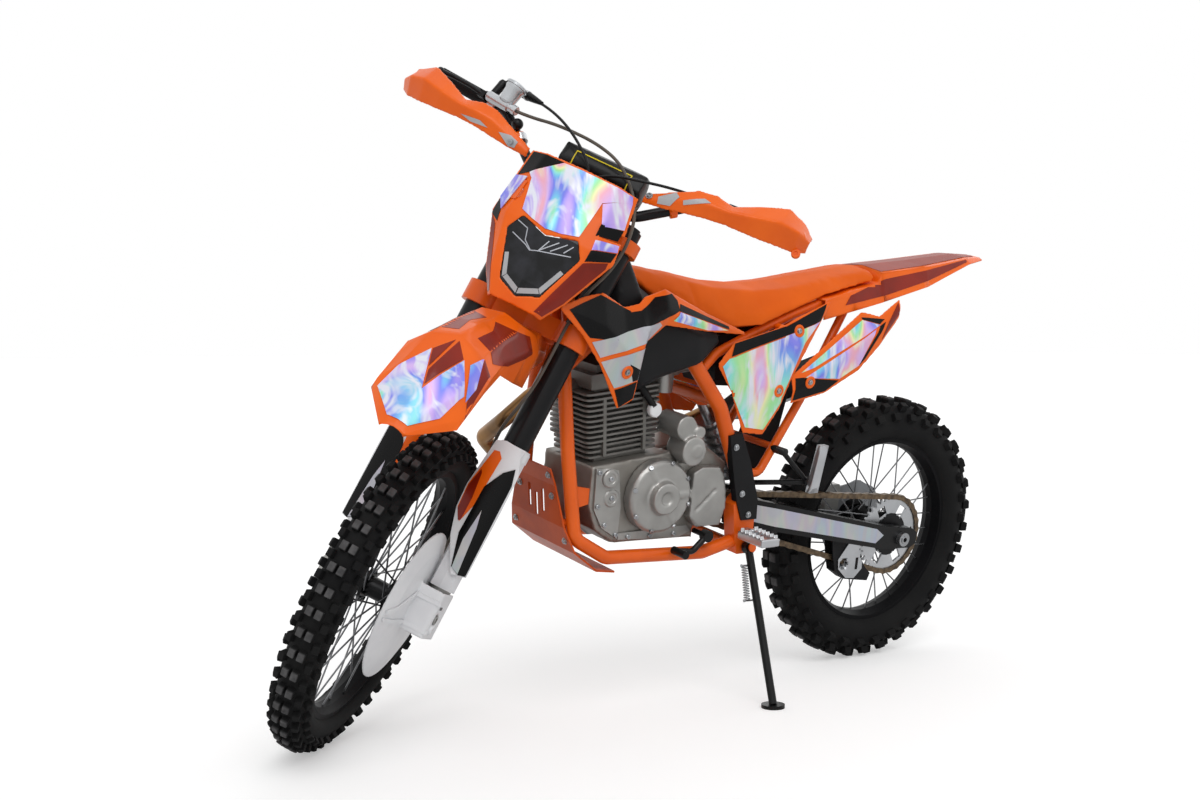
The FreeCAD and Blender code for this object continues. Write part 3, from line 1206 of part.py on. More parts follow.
def levers():
    """Clutch and brake levers on their perches, the right one with the throttle cable's elbow."""
    frame = control_frame()
    perch = cylinder(18, Vec(0, 0, 0), Vec(0, 18, 0))
    arm = block((8, 0, -8), (34, 16, 8))
    blade = pipe([Vec(28, 8, 0), Vec(42, 34, 0), Vec(51, 76, -3), Vec(52, 112, -6)], 5.0, 26.0)
    ball = Part.makeSphere(8, Vec(52, 114, -6))
    bore = cylinder(BAR_RADIUS + SEAT_GAP, Vec(0, -60, 0), Vec(0, 60, 0))
    left = placed(fused([perch, arm, blade, ball]).cut(bore), frame)
    elbow = pipe([Vec(-4, 9, 12), Vec(-10, 9, 56), Vec(-10, -34, 56), Vec(-10, -60, 54)], 6.0, 12.0)
    right = mirrored(placed(fused([perch, arm, blade, ball, elbow]).cut(bore), frame))
    return [slid(left), slid(right)]


def master_cylinder():
    """Front brake's master cylinder and reservoir, on the right of the bar."""
    frame = control_frame()
    clamp = cylinder(18, Vec(0, -24, 0), Vec(0, -2, 0))
    body = cylinder(11, Vec(26, -86, 4), Vec(26, -4, 4))
    link = block((0, -22, -6), (26, -4, 12))
    tank = block((8, -72, 8), (46, -30, 46))
    edges = [edge for edge in tank.Edges if abs(edge.tangentAt(edge.FirstParameter).z) > 0.9]
    tank = tank.makeFillet(8.0, edges)
    lid = block((4, -76, 46), (50, -26, 51))
    bore = cylinder(BAR_RADIUS + SEAT_GAP, Vec(0, -80, 0), Vec(0, 60, 0))
    return slid(mirrored(placed(fused([clamp, body, link, tank, lid]).cut(bore), frame)))


def handguard(side):
    """Shell, inner ring mount and outer rod of one handguard; side is 1 on the left and -1 on the right."""
    lines = [
        (128, [(92, 1268), (97, 1279), (92, 1291)]),
        (175, [(96, 1272), (103, 1292), (97, 1313)]),
        (225, [(98, 1280), (112, 1310), (98, 1338)]),
        (262, [(96, 1286), (114, 1314), (96, 1343)]),
        (300, [(92, 1290), (112, 1316), (90, 1336)]),
        (350, [(82, 1292), (108, 1326), (80, 1362)]),
        (400, [(62, 1298), (96, 1340), (58, 1386)]),
        (440, [(34, 1306), (70, 1342), (30, 1376)]),
        (464, [(8, 1322), (34, 1340), (4, 1358)]),
    ]
    start, end = lines[0][0], lines[-1][0]
    sections = []
    for y, line in lines:
        rise = side * GUARD_TILT * (0.6 + (y - start) / (end - start))
        sections.append((y, closed_skin([(d, w + rise) for d, w in line], -4.0)))
    shell = loft_sections(sections, across_y)
    ring = BAR_BEND + (Vec(BAR_AHEAD, BAR_STRAIGHT_HALF, BAR_HEIGHT) - BAR_BEND) * 0.45
    along = (BAR_BEND - ring).normalize()
    mount = cylinder(BAR_RADIUS + 6.0, ring - along * 9.0, ring + along * 9.0)
    bore = cylinder(BAR_RADIUS + SEAT_GAP, ring - along * 60.0, ring + along * 20.0)
    stay = rod_into(shell, 7.0, ring, Vec(130, ring.y + 14.0, 1300 + side * GUARD_TILT * 0.4))
    outward = (BAR_END - BAR_BEND).normalize()
    end_rod = rod_into(shell, 6.0, BAR_END + outward * SEAT_GAP, Vec(90, 462, 1340 + side * GUARD_TILT * 1.5))
    grip_room = cylinder(GRIP_RADIUS + SEAT_GAP, BAR_END - outward * 60.0, BAR_END + outward * SEAT_GAP)
    return fused([shell, mount, stay, end_rod]).cut(bore).cut(grip_room)


def handguards():
    """Handguards on both sides, each at its own tilt."""
    return [slid(handguard(1)), slid(mirrored(handguard(-1)))]


def lowest(points, placement):
    """Lowest height of some points after a placement."""
    return min(placement.multVec(point).z for point in points)


def parked_frame(rear_points, front_points):
    """Placement that leans the bike and sets both tyres on the floor."""
    lean = FreeCAD.Rotation(AHEAD, -LEAN)
    low_pitch, high_pitch = -3.0, 3.0
    for _ in range(40):
        pitch = (low_pitch + high_pitch) / 2.0
        turn = FreeCAD.Placement(ORIGIN, FreeCAD.Rotation(ACROSS, pitch).multiply(lean))
        if lowest(rear_points, turn) < lowest(front_points, turn):
            low_pitch = pitch
        else:
            high_pitch = pitch
    lift = FreeCAD.Placement(Vec(0, 0, -lowest(rear_points, turn)), FreeCAD.Rotation())
    return lift.multiply(turn)


def placed(shape, placement):
    """A copy of a shape moved by a placement."""
    copy = shape.copy()
    copy.Placement = placement.multiply(copy.Placement)
    return copy


def side_stand(parked):
    """Stand from the eye on its pin down to a foot that lies flat on the floor."""
    inverse = parked.inverse()
    above = parked.multVec(Vec(STAND_FOOT_X, STAND_FOOT_Y, 48.0))
    foot_low = inverse.multVec(Vec(above.x, above.y, 0))
    foot_high = inverse.multVec(Vec(above.x, above.y, STAND_FOOT_HEIGHT))
    middle = STAND_PIVOT + STAND_AXIS * (STAND_EYE_WIDTH / 2.0)
    along = (foot_high - middle).normalize()
    leg = cylinder(STAND_LEG_RADIUS, middle + along * 4.0, foot_high)
    foot = cylinder(STAND_FOOT_RADIUS, foot_low, foot_high)
    eye = cylinder(STAND_EYE_RADIUS, STAND_PIVOT, STAND_PIVOT + STAND_AXIS * STAND_EYE_WIDTH)
    reach = STAND_AXIS * 40.0
    bore = cylinder(STAND_PIN_RADIUS + HUB_CLEARANCE, STAND_PIVOT - reach, STAND_PIVOT + reach)
    return fused([leg, foot, eye]).cut(bore)


def as_shape(pieces):
    """One shape from a solid or a list of solids."""
    if isinstance(pieces, list):
        return pieces[0] if len(pieces) == 1 else Part.makeCompound(pieces)
    return pieces


def build():
    """Every node as a shape in the row frame, and the placements that joints and mounts need."""
    rear_tyre = solid_from_faces(tyre_faces(REAR_TYRE_RADIUS, REAR_LUG_HEIGHT, REAR_TREAD, REAR_RIM_RADIUS,
                                            REAR_RIM_HALF, REAR_LUG_ROWS))
    front_tyre = solid_from_faces(tyre_faces(FRONT_TYRE_RADIUS, FRONT_LUG_HEIGHT, FRONT_TREAD, FRONT_RIM_RADIUS,
                                             FRONT_RIM_HALF, FRONT_LUG_ROWS))
    rear_place = FreeCAD.Placement(Vec(0, 0, REAR_TYRE_RADIUS), FreeCAD.Rotation())
    steering = steered_frame()
    front_place = steering.multiply(FreeCAD.Placement(front_axle(), FreeCAD.Rotation()))
    rear_points = [rear_place.multVec(v.Point) for v in rear_tyre.Vertexes]
    front_points = [front_place.multVec(v.Point) for v in front_tyre.Vertexes]
    parked = parked_frame(rear_points, front_points)
    tank = fuel_tank()
    saddle = seat()
    fender = rear_fender()
    upright = {
        "main_frame": main_frame(), "subframe": subframe([saddle, fender]), "skid_plate": skid_plate(),
        "engine_case": engine_case(), "engine_cylinder": engine_cylinder(), "engine_covers": engine_covers(),
        "carburettor": carburettor(), "exhaust_header": exhaust_header(), "muffler": muffler(),
        "fuel_tank": tank, "shrouds": shrouds(tank), "seat": saddle, "side_panels": side_panels(),
        "tail_panels": tail_panels(), "rear_fender": fender, "inner_mudguard": inner_mudguard(),
        "airbox": airbox(), "passenger_pegs": passenger_pegs(), "frame_guards": frame_guards(),
        "chain_guide": chain_guide(), "swingarm": swingarm(), "rear_axle": rear_axle(), "rear_shock": rear_shock(), "chain": chain(),
        "footpegs": footpegs(), "foot_controls": foot_controls(), "rear_caliper": rear_caliper(),
        "side_stand": side_stand(parked),
    }
    turned = {
        "triple_clamps": triple_clamps(), "fork_tubes": fork_tubes(), "fork_legs": fork_legs(),
        "fork_guards": fork_guards(), "front_fender": front_fender(), "headlight_mask": headlight_mask(),
        "headlight": headlight(), "handlebar": handlebar(), "bar_clamp": bar_clamp(), "grips": grips(),
        "handguards": handguards(), "bar_pad": bar_pad(), "levers": levers(), "master_cylinder": master_cylinder(),
        "disc_guard": disc_guard(), "front_caliper": front_caliper(), "brake_hose": cord(HOSE_ROUTE, HOSE_RADIUS),
        "clutch_cable": cord(CLUTCH_ROUTE, CABLE_RADIUS), "throttle_cable": cord(THROTTLE_ROUTE, CABLE_RADIUS),
    }
    rear_wheel = {
        "rear_tyre": rear_tyre, "rear_rim": rim(REAR_RIM_RADIUS, REAR_RIM_HALF),
        "rear_spokes": spokes(REAR_FLANGE_RADIUS, REAR_FLANGE_Y, REAR_RIM_RADIUS), "rear_hub": rear_hub(),
        "rear_sprocket": rear_sprocket(),
    }
    front_wheel = {
        "front_tyre": front_tyre, "front_rim": rim(FRONT_RIM_RADIUS, FRONT_RIM_HALF),
        "front_spokes": spokes(FRONT_FLANGE_RADIUS, FRONT_FLANGE_Y, FRONT_RIM_RADIUS), "front_hub": front_hub(),
    }
    frames = {"bike": parked, "steering": parked.multiply(steering), "rear_wheel": parked.multiply(rear_place),
              "front_wheel": parked.multiply(front_place)}
    nodes = {}
    for group, frame in ((upright, "bike"), (turned, "steering"), (rear_wheel, "rear_wheel"), (front_wheel, "front_wheel")):
        for name, pieces in group.items():
            nodes[name] = placed(as_shape(pieces), frames[frame])
    box = FreeCAD.BoundBox()
    for shape in nodes.values():
        box.add(shape.BoundBox)
    shift = FreeCAD.Placement(Vec(-box.Center.x, -box.Center.y, 0), FreeCAD.Rotation())
    nodes = {name: placed(shape, shift) for name, shape in nodes.items()}
    frames = {name: shift.multiply(frame) for name, frame in frames.items()}
    return nodes, frames


def main():
    """Build every node in place and write its STEP file."""
    os.makedirs("parts", exist_ok=True)
    nodes, frames = build()
    for name, shape in nodes.items():
        shape.exportStep(os.path.join("parts", name + ".step"))
        print(name, "solids", len(shape.Solids), "valid", shape.isValid(), "volume cm3", round(shape.Volume / 1000.0, 1))


if __name__ == "__main__":
    main()
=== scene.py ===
"""Dirt bike: finishes for the CAD nodes, the soft seat, the cables and the small trim, camera and studio."""

import json
import logging
import math
from dataclasses import dataclass, replace
from enum import Enum
from typing import Any, Sequence

import bmesh
import bpy
import numpy as np
from mathutils import Matrix, Vector


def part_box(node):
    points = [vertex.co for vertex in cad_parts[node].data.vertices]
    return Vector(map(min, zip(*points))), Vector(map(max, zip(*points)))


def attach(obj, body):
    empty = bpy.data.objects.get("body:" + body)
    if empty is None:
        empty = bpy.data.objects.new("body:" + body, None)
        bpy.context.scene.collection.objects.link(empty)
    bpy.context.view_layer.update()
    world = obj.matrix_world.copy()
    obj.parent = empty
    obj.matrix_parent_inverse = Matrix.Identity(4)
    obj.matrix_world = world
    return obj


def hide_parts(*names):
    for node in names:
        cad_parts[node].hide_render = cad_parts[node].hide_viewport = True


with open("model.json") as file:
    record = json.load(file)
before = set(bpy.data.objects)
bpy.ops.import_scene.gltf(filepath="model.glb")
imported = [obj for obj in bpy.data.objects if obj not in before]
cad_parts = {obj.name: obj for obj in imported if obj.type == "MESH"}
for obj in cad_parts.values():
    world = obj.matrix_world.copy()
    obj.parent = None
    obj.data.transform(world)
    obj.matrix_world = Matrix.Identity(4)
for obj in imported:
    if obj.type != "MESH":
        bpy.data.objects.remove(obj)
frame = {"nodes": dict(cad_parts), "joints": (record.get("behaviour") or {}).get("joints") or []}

LOG = logging.getLogger("dirt_bike")
MM = 0.001
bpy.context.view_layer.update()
# Angle of the steering axis from upright, the rear tyre's radius, and the steering joint's height on its axis
RAKE = math.radians(27.5)
REAR_TYRE_RADIUS = 338.0
STEERING_JOINT_HEIGHT = 1080.0

Point = tuple[float, float, float]
Outline = Sequence[tuple[float, float]]

# The sRGB curve: a straight foot up to the knee, and a power above it
SRGB_KNEE = 0.04045
SRGB_FOOT_SLOPE = 12.92
SRGB_OFFSET = 0.055
SRGB_POWER = 2.4

# Sockets of a Mix node that mixes colours
MIX_SHARE = 0
MIX_FIRST = 6
MIX_SECOND = 7
MIX_RESULT = 2


def linear(code: str) -> tuple[float, float, float, float]:
    """Turn an sRGB hex colour to linear.

    Args:
        code: six hex digits, with or without a leading hash.

    Returns:
        The linear colour with an alpha of 1.
    """
    digits = code.lstrip("#")
    shares = [int(digits[k:k + 2], 16) / 255.0 for k in (0, 2, 4)]
    return tuple(share / SRGB_FOOT_SLOPE if share <= SRGB_KNEE
                 else ((share + SRGB_OFFSET) / (1.0 + SRGB_OFFSET)) ** SRGB_POWER
                 for share in shares) + (1.0,)


def node(tree: bpy.types.NodeTree, kind: str, links: dict[Any, Any] | None = None,
         **settings: Any) -> bpy.types.Node:
    """Add a node with its settings, its input values and its links.

    Args:
        tree: the tree that gets the node.
        kind: the node's type name.
        links: what goes into each input, a value or another node's output.
        settings: the node's own properties.

    Returns:
        The new node.
    """
    new = tree.nodes.new(kind)
    for name, value in settings.items():
        setattr(new, name, value)
    for key, value in (links or {}).items():
        if isinstance(value, bpy.types.NodeSocket):
            tree.links.new(value, new.inputs[key])
        else:
            new.inputs[key].default_value = value
    return new


def frame_matrix(origin: Vector, ahead: Vector, across: Vector, up: Vector) -> Matrix:
    """Matrix of a frame from its origin, in metres, and its three directions."""
    turn = Matrix((ahead, across, up)).transposed().to_4x4()
    return Matrix.Translation(origin) @ turn


def joint_place(name: str) -> tuple[Vector, Vector]:
    """Position and axis of one of the record's joints."""
    found = next(joint for joint in frame["joints"] if joint["name"] == name)
    return Vector(found["pos_m"]), Vector(found["axis"])


def bike_frame() -> Matrix:
    """Find the frame of the upright bike from its joints.

    Returns:
        Its matrix: ahead, to the left and up, from the point under the rear axle.
    """
    axle, across = joint_place("rear_wheel_spin")
    steering_up = joint_place("steering_turn")[1]
    normal = across.cross(steering_up).normalized()
    ahead = normal * math.cos(RAKE) - steering_up * math.sin(RAKE)
    up = normal * math.sin(RAKE) + steering_up * math.cos(RAKE)
    return frame_matrix(axle - up * REAR_TYRE_RADIUS * MM, ahead, across, up)


def steering_frame() -> Matrix:
    """Find the frame of the turned steering from its joints.

    Returns:
        Its matrix, with the third direction along the steering axis.
    """
    pivot, up = joint_place("steering_turn")
    across = joint_place("front_wheel_spin")[1]
    return frame_matrix(pivot - up * STEERING_JOINT_HEIGHT * MM, across.cross(up), across, up)


def wheel_frame(joint: str, basis: Matrix) -> Matrix:
    """Frame of a wheel: its axle's centre with the directions of the frame that carries it."""
    return Matrix.Translation(joint_place(joint)[0]) @ basis.to_3x3().to_4x4()


BIKE = bike_frame()
STEERING = steering_frame()
FRONT_HUB = wheel_frame("front_wheel_spin", STEERING)
REAR_HUB = wheel_frame("rear_wheel_spin", BIKE)


class Wheel(Enum):
    """The two wheels, each with the name of its body."""

    FRONT = "front_wheel"
    REAR = "rear_wheel"

    def hub(self) -> Matrix:
        """Frame at the wheel's axle, its second direction along it."""
        return FRONT_HUB if self is Wheel.FRONT else REAR_HUB


class Surface(Enum):
    """How a surface was made, which decides its bump."""

    MOULDED = "moulded"
    CAST = "cast"
    BRUSHED = "brushed"
    COATED = "powder coated"
    RUBBER = "rubber"


# Part of the noise over which the two tones of a surface change places
TONE_EDGES = (0.35, 0.65)
TONE_DETAIL = 3.0
GRAIN_DETAIL = 2.0
# How far the grain moves the roughness each way
ROUGHNESS_SPREAD = 0.06
BUMP_STRENGTH = 0.6
# Brushing draws the grain out across the third direction
BRUSHED_STRETCH = (1.0, 1.0, 14.0)


def noise_scale(size_mm: float) -> float:
    """Noise scale whose spots are of a size, in millimetres."""
    return 1000.0 / size_mm


@dataclass(frozen=True)
class Finish:
    """One finish: a colour with slight variation, and a bump that suits how it was made.

    A mould's grain and a casting's sand are 0.1 to 0.5 mm across. That is too fine to show, so grain_mm is
    coarser.
    """

    name: str
    colour: str
    shade: str
    roughness: float
    metallic: float = 0.0
    surface: Surface = Surface.MOULDED
    grain_mm: float = 1.2
    depth_mm: float = 0.05
    coat: float = 0.0
    patch_mm: float = 90.0
    specular: float = 0.35

    def base(self, tree: bpy.types.NodeTree, place: bpy.types.NodeSocket) -> bpy.types.NodeSocket:
        """Colour of the surface: two tones in soft patches.

        Args:
            tree: the material's tree.
            place: the object coordinates.

        Returns:
            The colour's socket.
        """
        patch = node(tree, "ShaderNodeTexNoise", {"Vector": place, "Scale": noise_scale(self.patch_mm),
                                                  "Detail": TONE_DETAIL})
        tint = node(tree, "ShaderNodeMapRange", {"Value": patch.outputs["Fac"], "From Min": TONE_EDGES[0],
                                                 "From Max": TONE_EDGES[1]})
        mix = node(tree, "ShaderNodeMix", {MIX_SHARE: tint.outputs["Result"], MIX_FIRST: linear(self.colour),
                                           MIX_SECOND: linear(self.shade)}, data_type="RGBA")
        return mix.outputs[MIX_RESULT]

    def material(self) -> bpy.types.Material:
        """Build the node material once.

        Returns:
            The new material, or the one that was built before.
        """
        found = bpy.data.materials.get(self.name)
        if found:
            return found
        made = bpy.data.materials.new(self.name)
        made.use_nodes = True
        tree = made.node_tree
        tree.nodes.clear()
        place = node(tree, "ShaderNodeTexCoord").outputs["Object"]
        colour = self.base(tree, place)
        fine = place
        if self.surface is Surface.BRUSHED:
            fine = node(tree, "ShaderNodeMapping", {"Vector": place,
                                                    "Scale": BRUSHED_STRETCH}).outputs["Vector"]
        grain = node(tree, "ShaderNodeTexNoise", {"Vector": fine, "Scale": noise_scale(self.grain_mm),
                                                  "Detail": GRAIN_DETAIL})
        spread = node(tree, "ShaderNodeMapRange", {"Value": grain.outputs["Fac"],
                                                   "To Min": self.roughness - ROUGHNESS_SPREAD,
                                                   "To Max": self.roughness + ROUGHNESS_SPREAD})
        bump = node(tree, "ShaderNodeBump", {"Height": grain.outputs["Fac"], "Distance": self.depth_mm * MM,
                                             "Strength": BUMP_STRENGTH})
        shader = node(tree, "ShaderNodeBsdfPrincipled", {"Base Color": colour,
                                                         "Roughness": spread.outputs["Result"],
                                                         "Normal": bump.outputs["Normal"],
                                                         "Metallic": self.metallic, "Coat Weight": self.coat,
                                                         "Specular IOR Level": self.specular})
        node(tree, "ShaderNodeOutputMaterial", {"Surface": shader.outputs["BSDF"]})
        return made


# Colours that follow each other around the foil's rainbow, from violet back to violet
FOIL_TONES = ("#B49CF0", "#7C86EE", "#7CC6F0", "#96E8DC", "#A6E8A0", "#F2F0B8", "#F0B0C4", "#D8B8F2",
              "#B49CF0")


@dataclass(frozen=True)
class Foil(Finish):
    """Holographic foil: silvery, with painted glints and soft fans of pastel rainbow.

    The stretch and the wave scale together make fans about 130 mm wide and 420 mm long, as large as they show
    in the real foil. Pale patches come in where the finer noise passes the glint edges: partly the foil's own
    silvery face, partly painted glints.
    """

    tilt: Point = (0.5, 0.45, 0.4)
    stretch: Point = (5.0, 5.0, 1.6)
    wave_scale: float = 1.5
    wave_detail: float = 1.2
    wave_distortion: float = 1.1
    turns: float = 3.4
    phase: float = 0.0
    glint_scale: float = 3.6
    glint_detail: float = 2.0
    glint_distortion: float = 2.2
    # Pale patches, partly the foil's silvery face and partly painted glints: where they come in, their least
    # share and their colour
    glint_edges: tuple[float, float] = (0.46, 0.64)
    least_silver_and_glint: float = 0.0
    silver_and_glint: str = "#E4E6F2"

    def base(self, tree: bpy.types.NodeTree, place: bpy.types.NodeSocket) -> bpy.types.NodeSocket:
        """Rainbow streaks on a silvery face with painted glints.

        Args:
            tree: the material's tree.
            place: the object coordinates.

        Returns:
            The colour's socket.
        """
        spot = node(tree, "ShaderNodeMapping", {"Vector": place, "Rotation": self.tilt,
                                                "Scale": self.stretch})
        waves = node(tree, "ShaderNodeTexNoise", {"Vector": spot.outputs["Vector"], "Scale": self.wave_scale,
                                                  "Detail": self.wave_detail,
                                                  "Distortion": self.wave_distortion})
        hue = node(tree, "ShaderNodeMath", {0: waves.outputs["Fac"], 1: self.turns, 2: self.phase},
                   operation="MULTIPLY_ADD")
        turn = node(tree, "ShaderNodeMath", {0: hue.outputs[0]}, operation="FRACT")
        rainbow = node(tree, "ShaderNodeValToRGB", {"Fac": turn.outputs[0]})
        steps = rainbow.color_ramp.elements
        while len(steps) < len(FOIL_TONES):
            steps.new(0.5)
        for index, (step, code) in enumerate(zip(steps, FOIL_TONES)):
            step.position = index / (len(FOIL_TONES) - 1.0)
            step.color = linear(code)
        glints = node(tree, "ShaderNodeTexNoise", {"Vector": spot.outputs["Vector"],
                                                   "Scale": self.glint_scale,
                                                   "Detail": self.glint_detail,
                                                   "Distortion": self.glint_distortion})
        # Share of the pale patches, which are partly painted glints
        white = node(tree, "ShaderNodeMapRange", {"Value": glints.outputs["Fac"],
                                                  "From Min": self.glint_edges[0],
                                                  "From Max": self.glint_edges[1],
                                                  "To Min": self.least_silver_and_glint, "To Max": 1.0})
        mix = node(tree, "ShaderNodeMix", {MIX_SHARE: white.outputs["Result"],
                                           MIX_FIRST: rainbow.outputs["Color"],
                                           MIX_SECOND: linear(self.silver_and_glint)}, data_type="RGBA")
        return mix.outputs[MIX_RESULT]


@dataclass(frozen=True)
class WheelFinish(Finish):
    """Finish of a wheel's piece that changes with the distance from the axle, as on a tyre's scuffed lugs.

    The outer colour comes in between the two radii of edge, in millimetres. The scuffs are about 14 mm wide.
    """

    wheel: Wheel = Wheel.FRONT
    worn: str = "#6C6B6C"
    edge: tuple[float, float] = (341.0, 347.0)
    scuffed: bool = True
    scuff_scale: float = 70.0
    scuff_detail: float = 4.0

    def base(self, tree: bpy.types.NodeTree, place: bpy.types.NodeSocket) -> bpy.types.NodeSocket:
        """Colour that turns to the outer one between the two radii.

        Args:
            tree: the material's tree.
            place: the object coordinates.

        Returns:
            The colour's socket.
        """
        inward = self.wheel.hub().inverted()
        turned_place = node(tree, "ShaderNodeMapping", {"Vector": place, "Location": inward.translation,
                                                        "Rotation": inward.to_euler("XYZ")})
        flat = node(tree, "ShaderNodeVectorMath", {0: turned_place.outputs["Vector"], 1: (1.0, 0.0, 1.0)},
                    operation="MULTIPLY")
        length = node(tree, "ShaderNodeVectorMath", {0: flat.outputs["Vector"]}, operation="LENGTH")
        top = node(tree, "ShaderNodeMapRange", {"Value": length.outputs["Value"],
                                                "From Min": self.edge[0] * MM, "From Max": self.edge[1] * MM})
        scuff = node(tree, "ShaderNodeTexNoise", {"Vector": place, "Scale": self.scuff_scale,
                                                  "Detail": self.scuff_detail})
        share = scuff.outputs["Fac"] if self.scuffed else 1.0
        amount = node(tree, "ShaderNodeMath", {0: top.outputs["Result"], 1: share}, operation="MULTIPLY")
        inner = super().base(tree, place)
        mix = node(tree, "ShaderNodeMix", {MIX_SHARE: amount.outputs[0], MIX_FIRST: inner,
                                           MIX_SECOND: linear(self.worn)}, data_type="RGBA")
        return mix.outputs[MIX_RESULT]


# Injection-moulded polypropylene in vivid orange: a clean, slightly glossy plastic with a fine grain
ORANGE = Finish("orange_polypropylene", "#F5690A", "#EE6208", 0.34, specular=0.3)
# Orange powder coat on steel tube: glossy with a faint orange peel
ORANGE_COAT = Finish("orange_powder_coat", "#E96212", "#DE5A0C", 0.34, surface=Surface.COATED,
                     grain_mm=2.0, coat=0.1, specular=0.3)
# Orange polypropylene under a dark red tinted film, in the recesses: deeper and a little glossier. Its
# darkness is partly the film's and partly painted shade of the recesses
DARK_RED_AND_SHADE = Finish("dark_red_tint_and_shade", "#8E1F06", "#751804", 0.3, coat=0.1, specular=0.25)
# Smoky red tinted film on the tail's top: duller, because the white surround brightens it
SMOKY_RED = Finish("smoky_red_tint", "#99301C", "#842614", 0.4, specular=0.12)
# Orange tinted polycarbonate sheet of the skid plate: darker than the panels and glossy
TINTED_PLATE = Finish("tinted_polycarbonate", "#C94F10", "#B0400A", 0.3, specular=0.2)
# Matte black polypropylene: dark plastic that greys where the light grazes it
BLACK_PLASTIC = Finish("black_polypropylene", "#101012", "#161618", 0.5, specular=0.18)
# Black film of the sticker sheets: smoother and a little glossy
BLACK_FILM = Finish("black_vinyl_film", "#060607", "#0A0A0B", 0.26, specular=0.16)
# Black anodised aluminium: dark, smooth and a little metallic
BLACK_ANODISED = Finish("black_anodised_aluminium", "#0C0C0E", "#121214", 0.34, metallic=0.1, specular=0.22)
# Black anodised rims: the same metal, rolled and dull, so that the white surround hardly shows in them
RIM_BLACK = Finish("black_anodised_rim", "#0A0A0C", "#0F0F11", 0.45, specular=0.08)
# Black enamel on steel: glossy and plain
BLACK_ENAMEL = Finish("black_enamel", "#0A0A0B", "#101011", 0.3, surface=Surface.COATED, coat=0.05,
                      specular=0.22)
# Sand-cast aluminium: grey and slightly rough all over
CAST_ALUMINIUM = Finish("cast_aluminium", "#A9A8A5", "#9A9996", 0.38, metallic=0.7, surface=Surface.CAST,
                        depth_mm=0.12, patch_mm=70.0)
# Cast aluminium fins under grey heat-proof paint: darker and duller than bare metal
PAINTED_FINS = Finish("painted_cast_fins", "#7B7975", "#6C6A66", 0.42, metallic=0.5, surface=Surface.CAST,
                      depth_mm=0.12, patch_mm=60.0)
# Turned or brushed aluminium: brighter, with fine lines that are drawn coarser so that they show
BRUSHED_ALUMINIUM = Finish("brushed_aluminium", "#C8CACD", "#B6B9BC", 0.3, metallic=0.9,
                           surface=Surface.BRUSHED)
# Bare and zinc-plated steel: bright and smooth
STEEL = Finish("zinc_plated_steel", "#B4B6B8", "#96989B", 0.28, metallic=0.95)
# Drawn steel wire of the spokes: bright, but dark against the white surround
SPOKE_STEEL = Finish("spoke_steel", "#8D8E90", "#6E6F72", 0.32, metallic=0.9)
# Oiled chain steel: brown-grey and darker in its creases
CHAIN_STEEL = Finish("oiled_chain_steel", "#77654F", "#4F4337", 0.4, metallic=0.7, grain_mm=4.0,
                     patch_mm=12.0)
# Bent stainless tube of the header, coloured by heat: bronze to brown and shiny
HEADER_STEEL = Finish("heated_steel", "#9C7548", "#6A5138", 0.32, metallic=0.9)
# Soft handlebar rubber: black and dull, with a fine waffle
SOFT_RUBBER = Finish("soft_rubber", "#0E0E0F", "#151516", 0.7, surface=Surface.RUBBER, grain_mm=3.0,
                     depth_mm=0.4, specular=0.15)
# Vinyl skin of the bar pad: black, with a soft shine and a fine pebble
PAD_VINYL = Finish("black_pad_vinyl", "#0A0A0B", "#101011", 0.34, surface=Surface.RUBBER, grain_mm=1.6,
                   specular=0.2)
# Injection-moulded white polypropylene of the fork and disc guards: satin and even
WHITE_PLASTIC = Finish("white_polypropylene", "#E9EAEC", "#DFE0E3", 0.4)
# Moulded pale grey polypropylene of the hand guards' insets and the lamp's strips: satin and even
GREY_INSET = Finish("grey_polypropylene", "#B9BBBE", "#A7A9AC", 0.35)
# Moulded dark polycarbonate over the lamp: nearly black and very smooth
LENS = Finish("dark_polycarbonate", "#08090B", "#24252B", 0.1, specular=0.3, patch_mm=34.0)
# Vacuum-metallised edges of the reflector behind the lens, painted pale as the highlights that they catch,
# with a soft shine
REFLECTOR_HIGHLIGHT = Finish("reflector_edge_highlight", "#C9CBD2", "#9DA0A8", 0.25, metallic=0.4)
# Pressure-cast magnesium of the crankcase: like cast aluminium, with a brown cast
DARK_CASE = Finish("dark_cast_magnesium", "#97948F", "#85817B", 0.4, metallic=0.6, surface=Surface.CAST,
                   patch_mm=80.0)
# Orange vinyl over the seat's foam: dull, with a fine pebbled grip
SEAT_VINYL = Finish("pebbled_vinyl", "#E8640F", "#DF5D0C", 0.6, surface=Surface.RUBBER, grain_mm=1.6,
                    depth_mm=0.12, specular=0.15)
# Woven cover of the brake hose: grey-brown and dull, its braid drawn coarser than it is
HOSE_COVER = Finish("braided_hose_cover", "#5E574E", "#49433C", 0.5, surface=Surface.RUBBER, grain_mm=1.0)
# Extruded black sheath of the control cables: smooth, with a soft shine
CABLE_SHEATH = Finish("cable_sheath", "#0C0C0D", "#131314", 0.4, surface=Surface.RUBBER, grain_mm=1.0,
                      specular=0.2)
# Screen-printed yellow line on the bar pad: flat and even
YELLOW_PRINT = Finish("yellow_print", "#E8D21C", "#DDC818", 0.4)
# Holographic foil of the sticker sheets: rainbow fans on a silvery face with painted glints,
# smooth and soft-shining
FOIL = Foil("holographic_foil", "#E9EAF4", "#C9C2EE", 0.3, metallic=0.15)
# The same foil, cut from bluer and greener stretches of the roll
FENDER_FOIL = replace(FOIL, name="holographic_foil_blue", phase=0.62)
PANEL_FOIL = replace(FOIL, name="holographic_foil_green", phase=0.75)
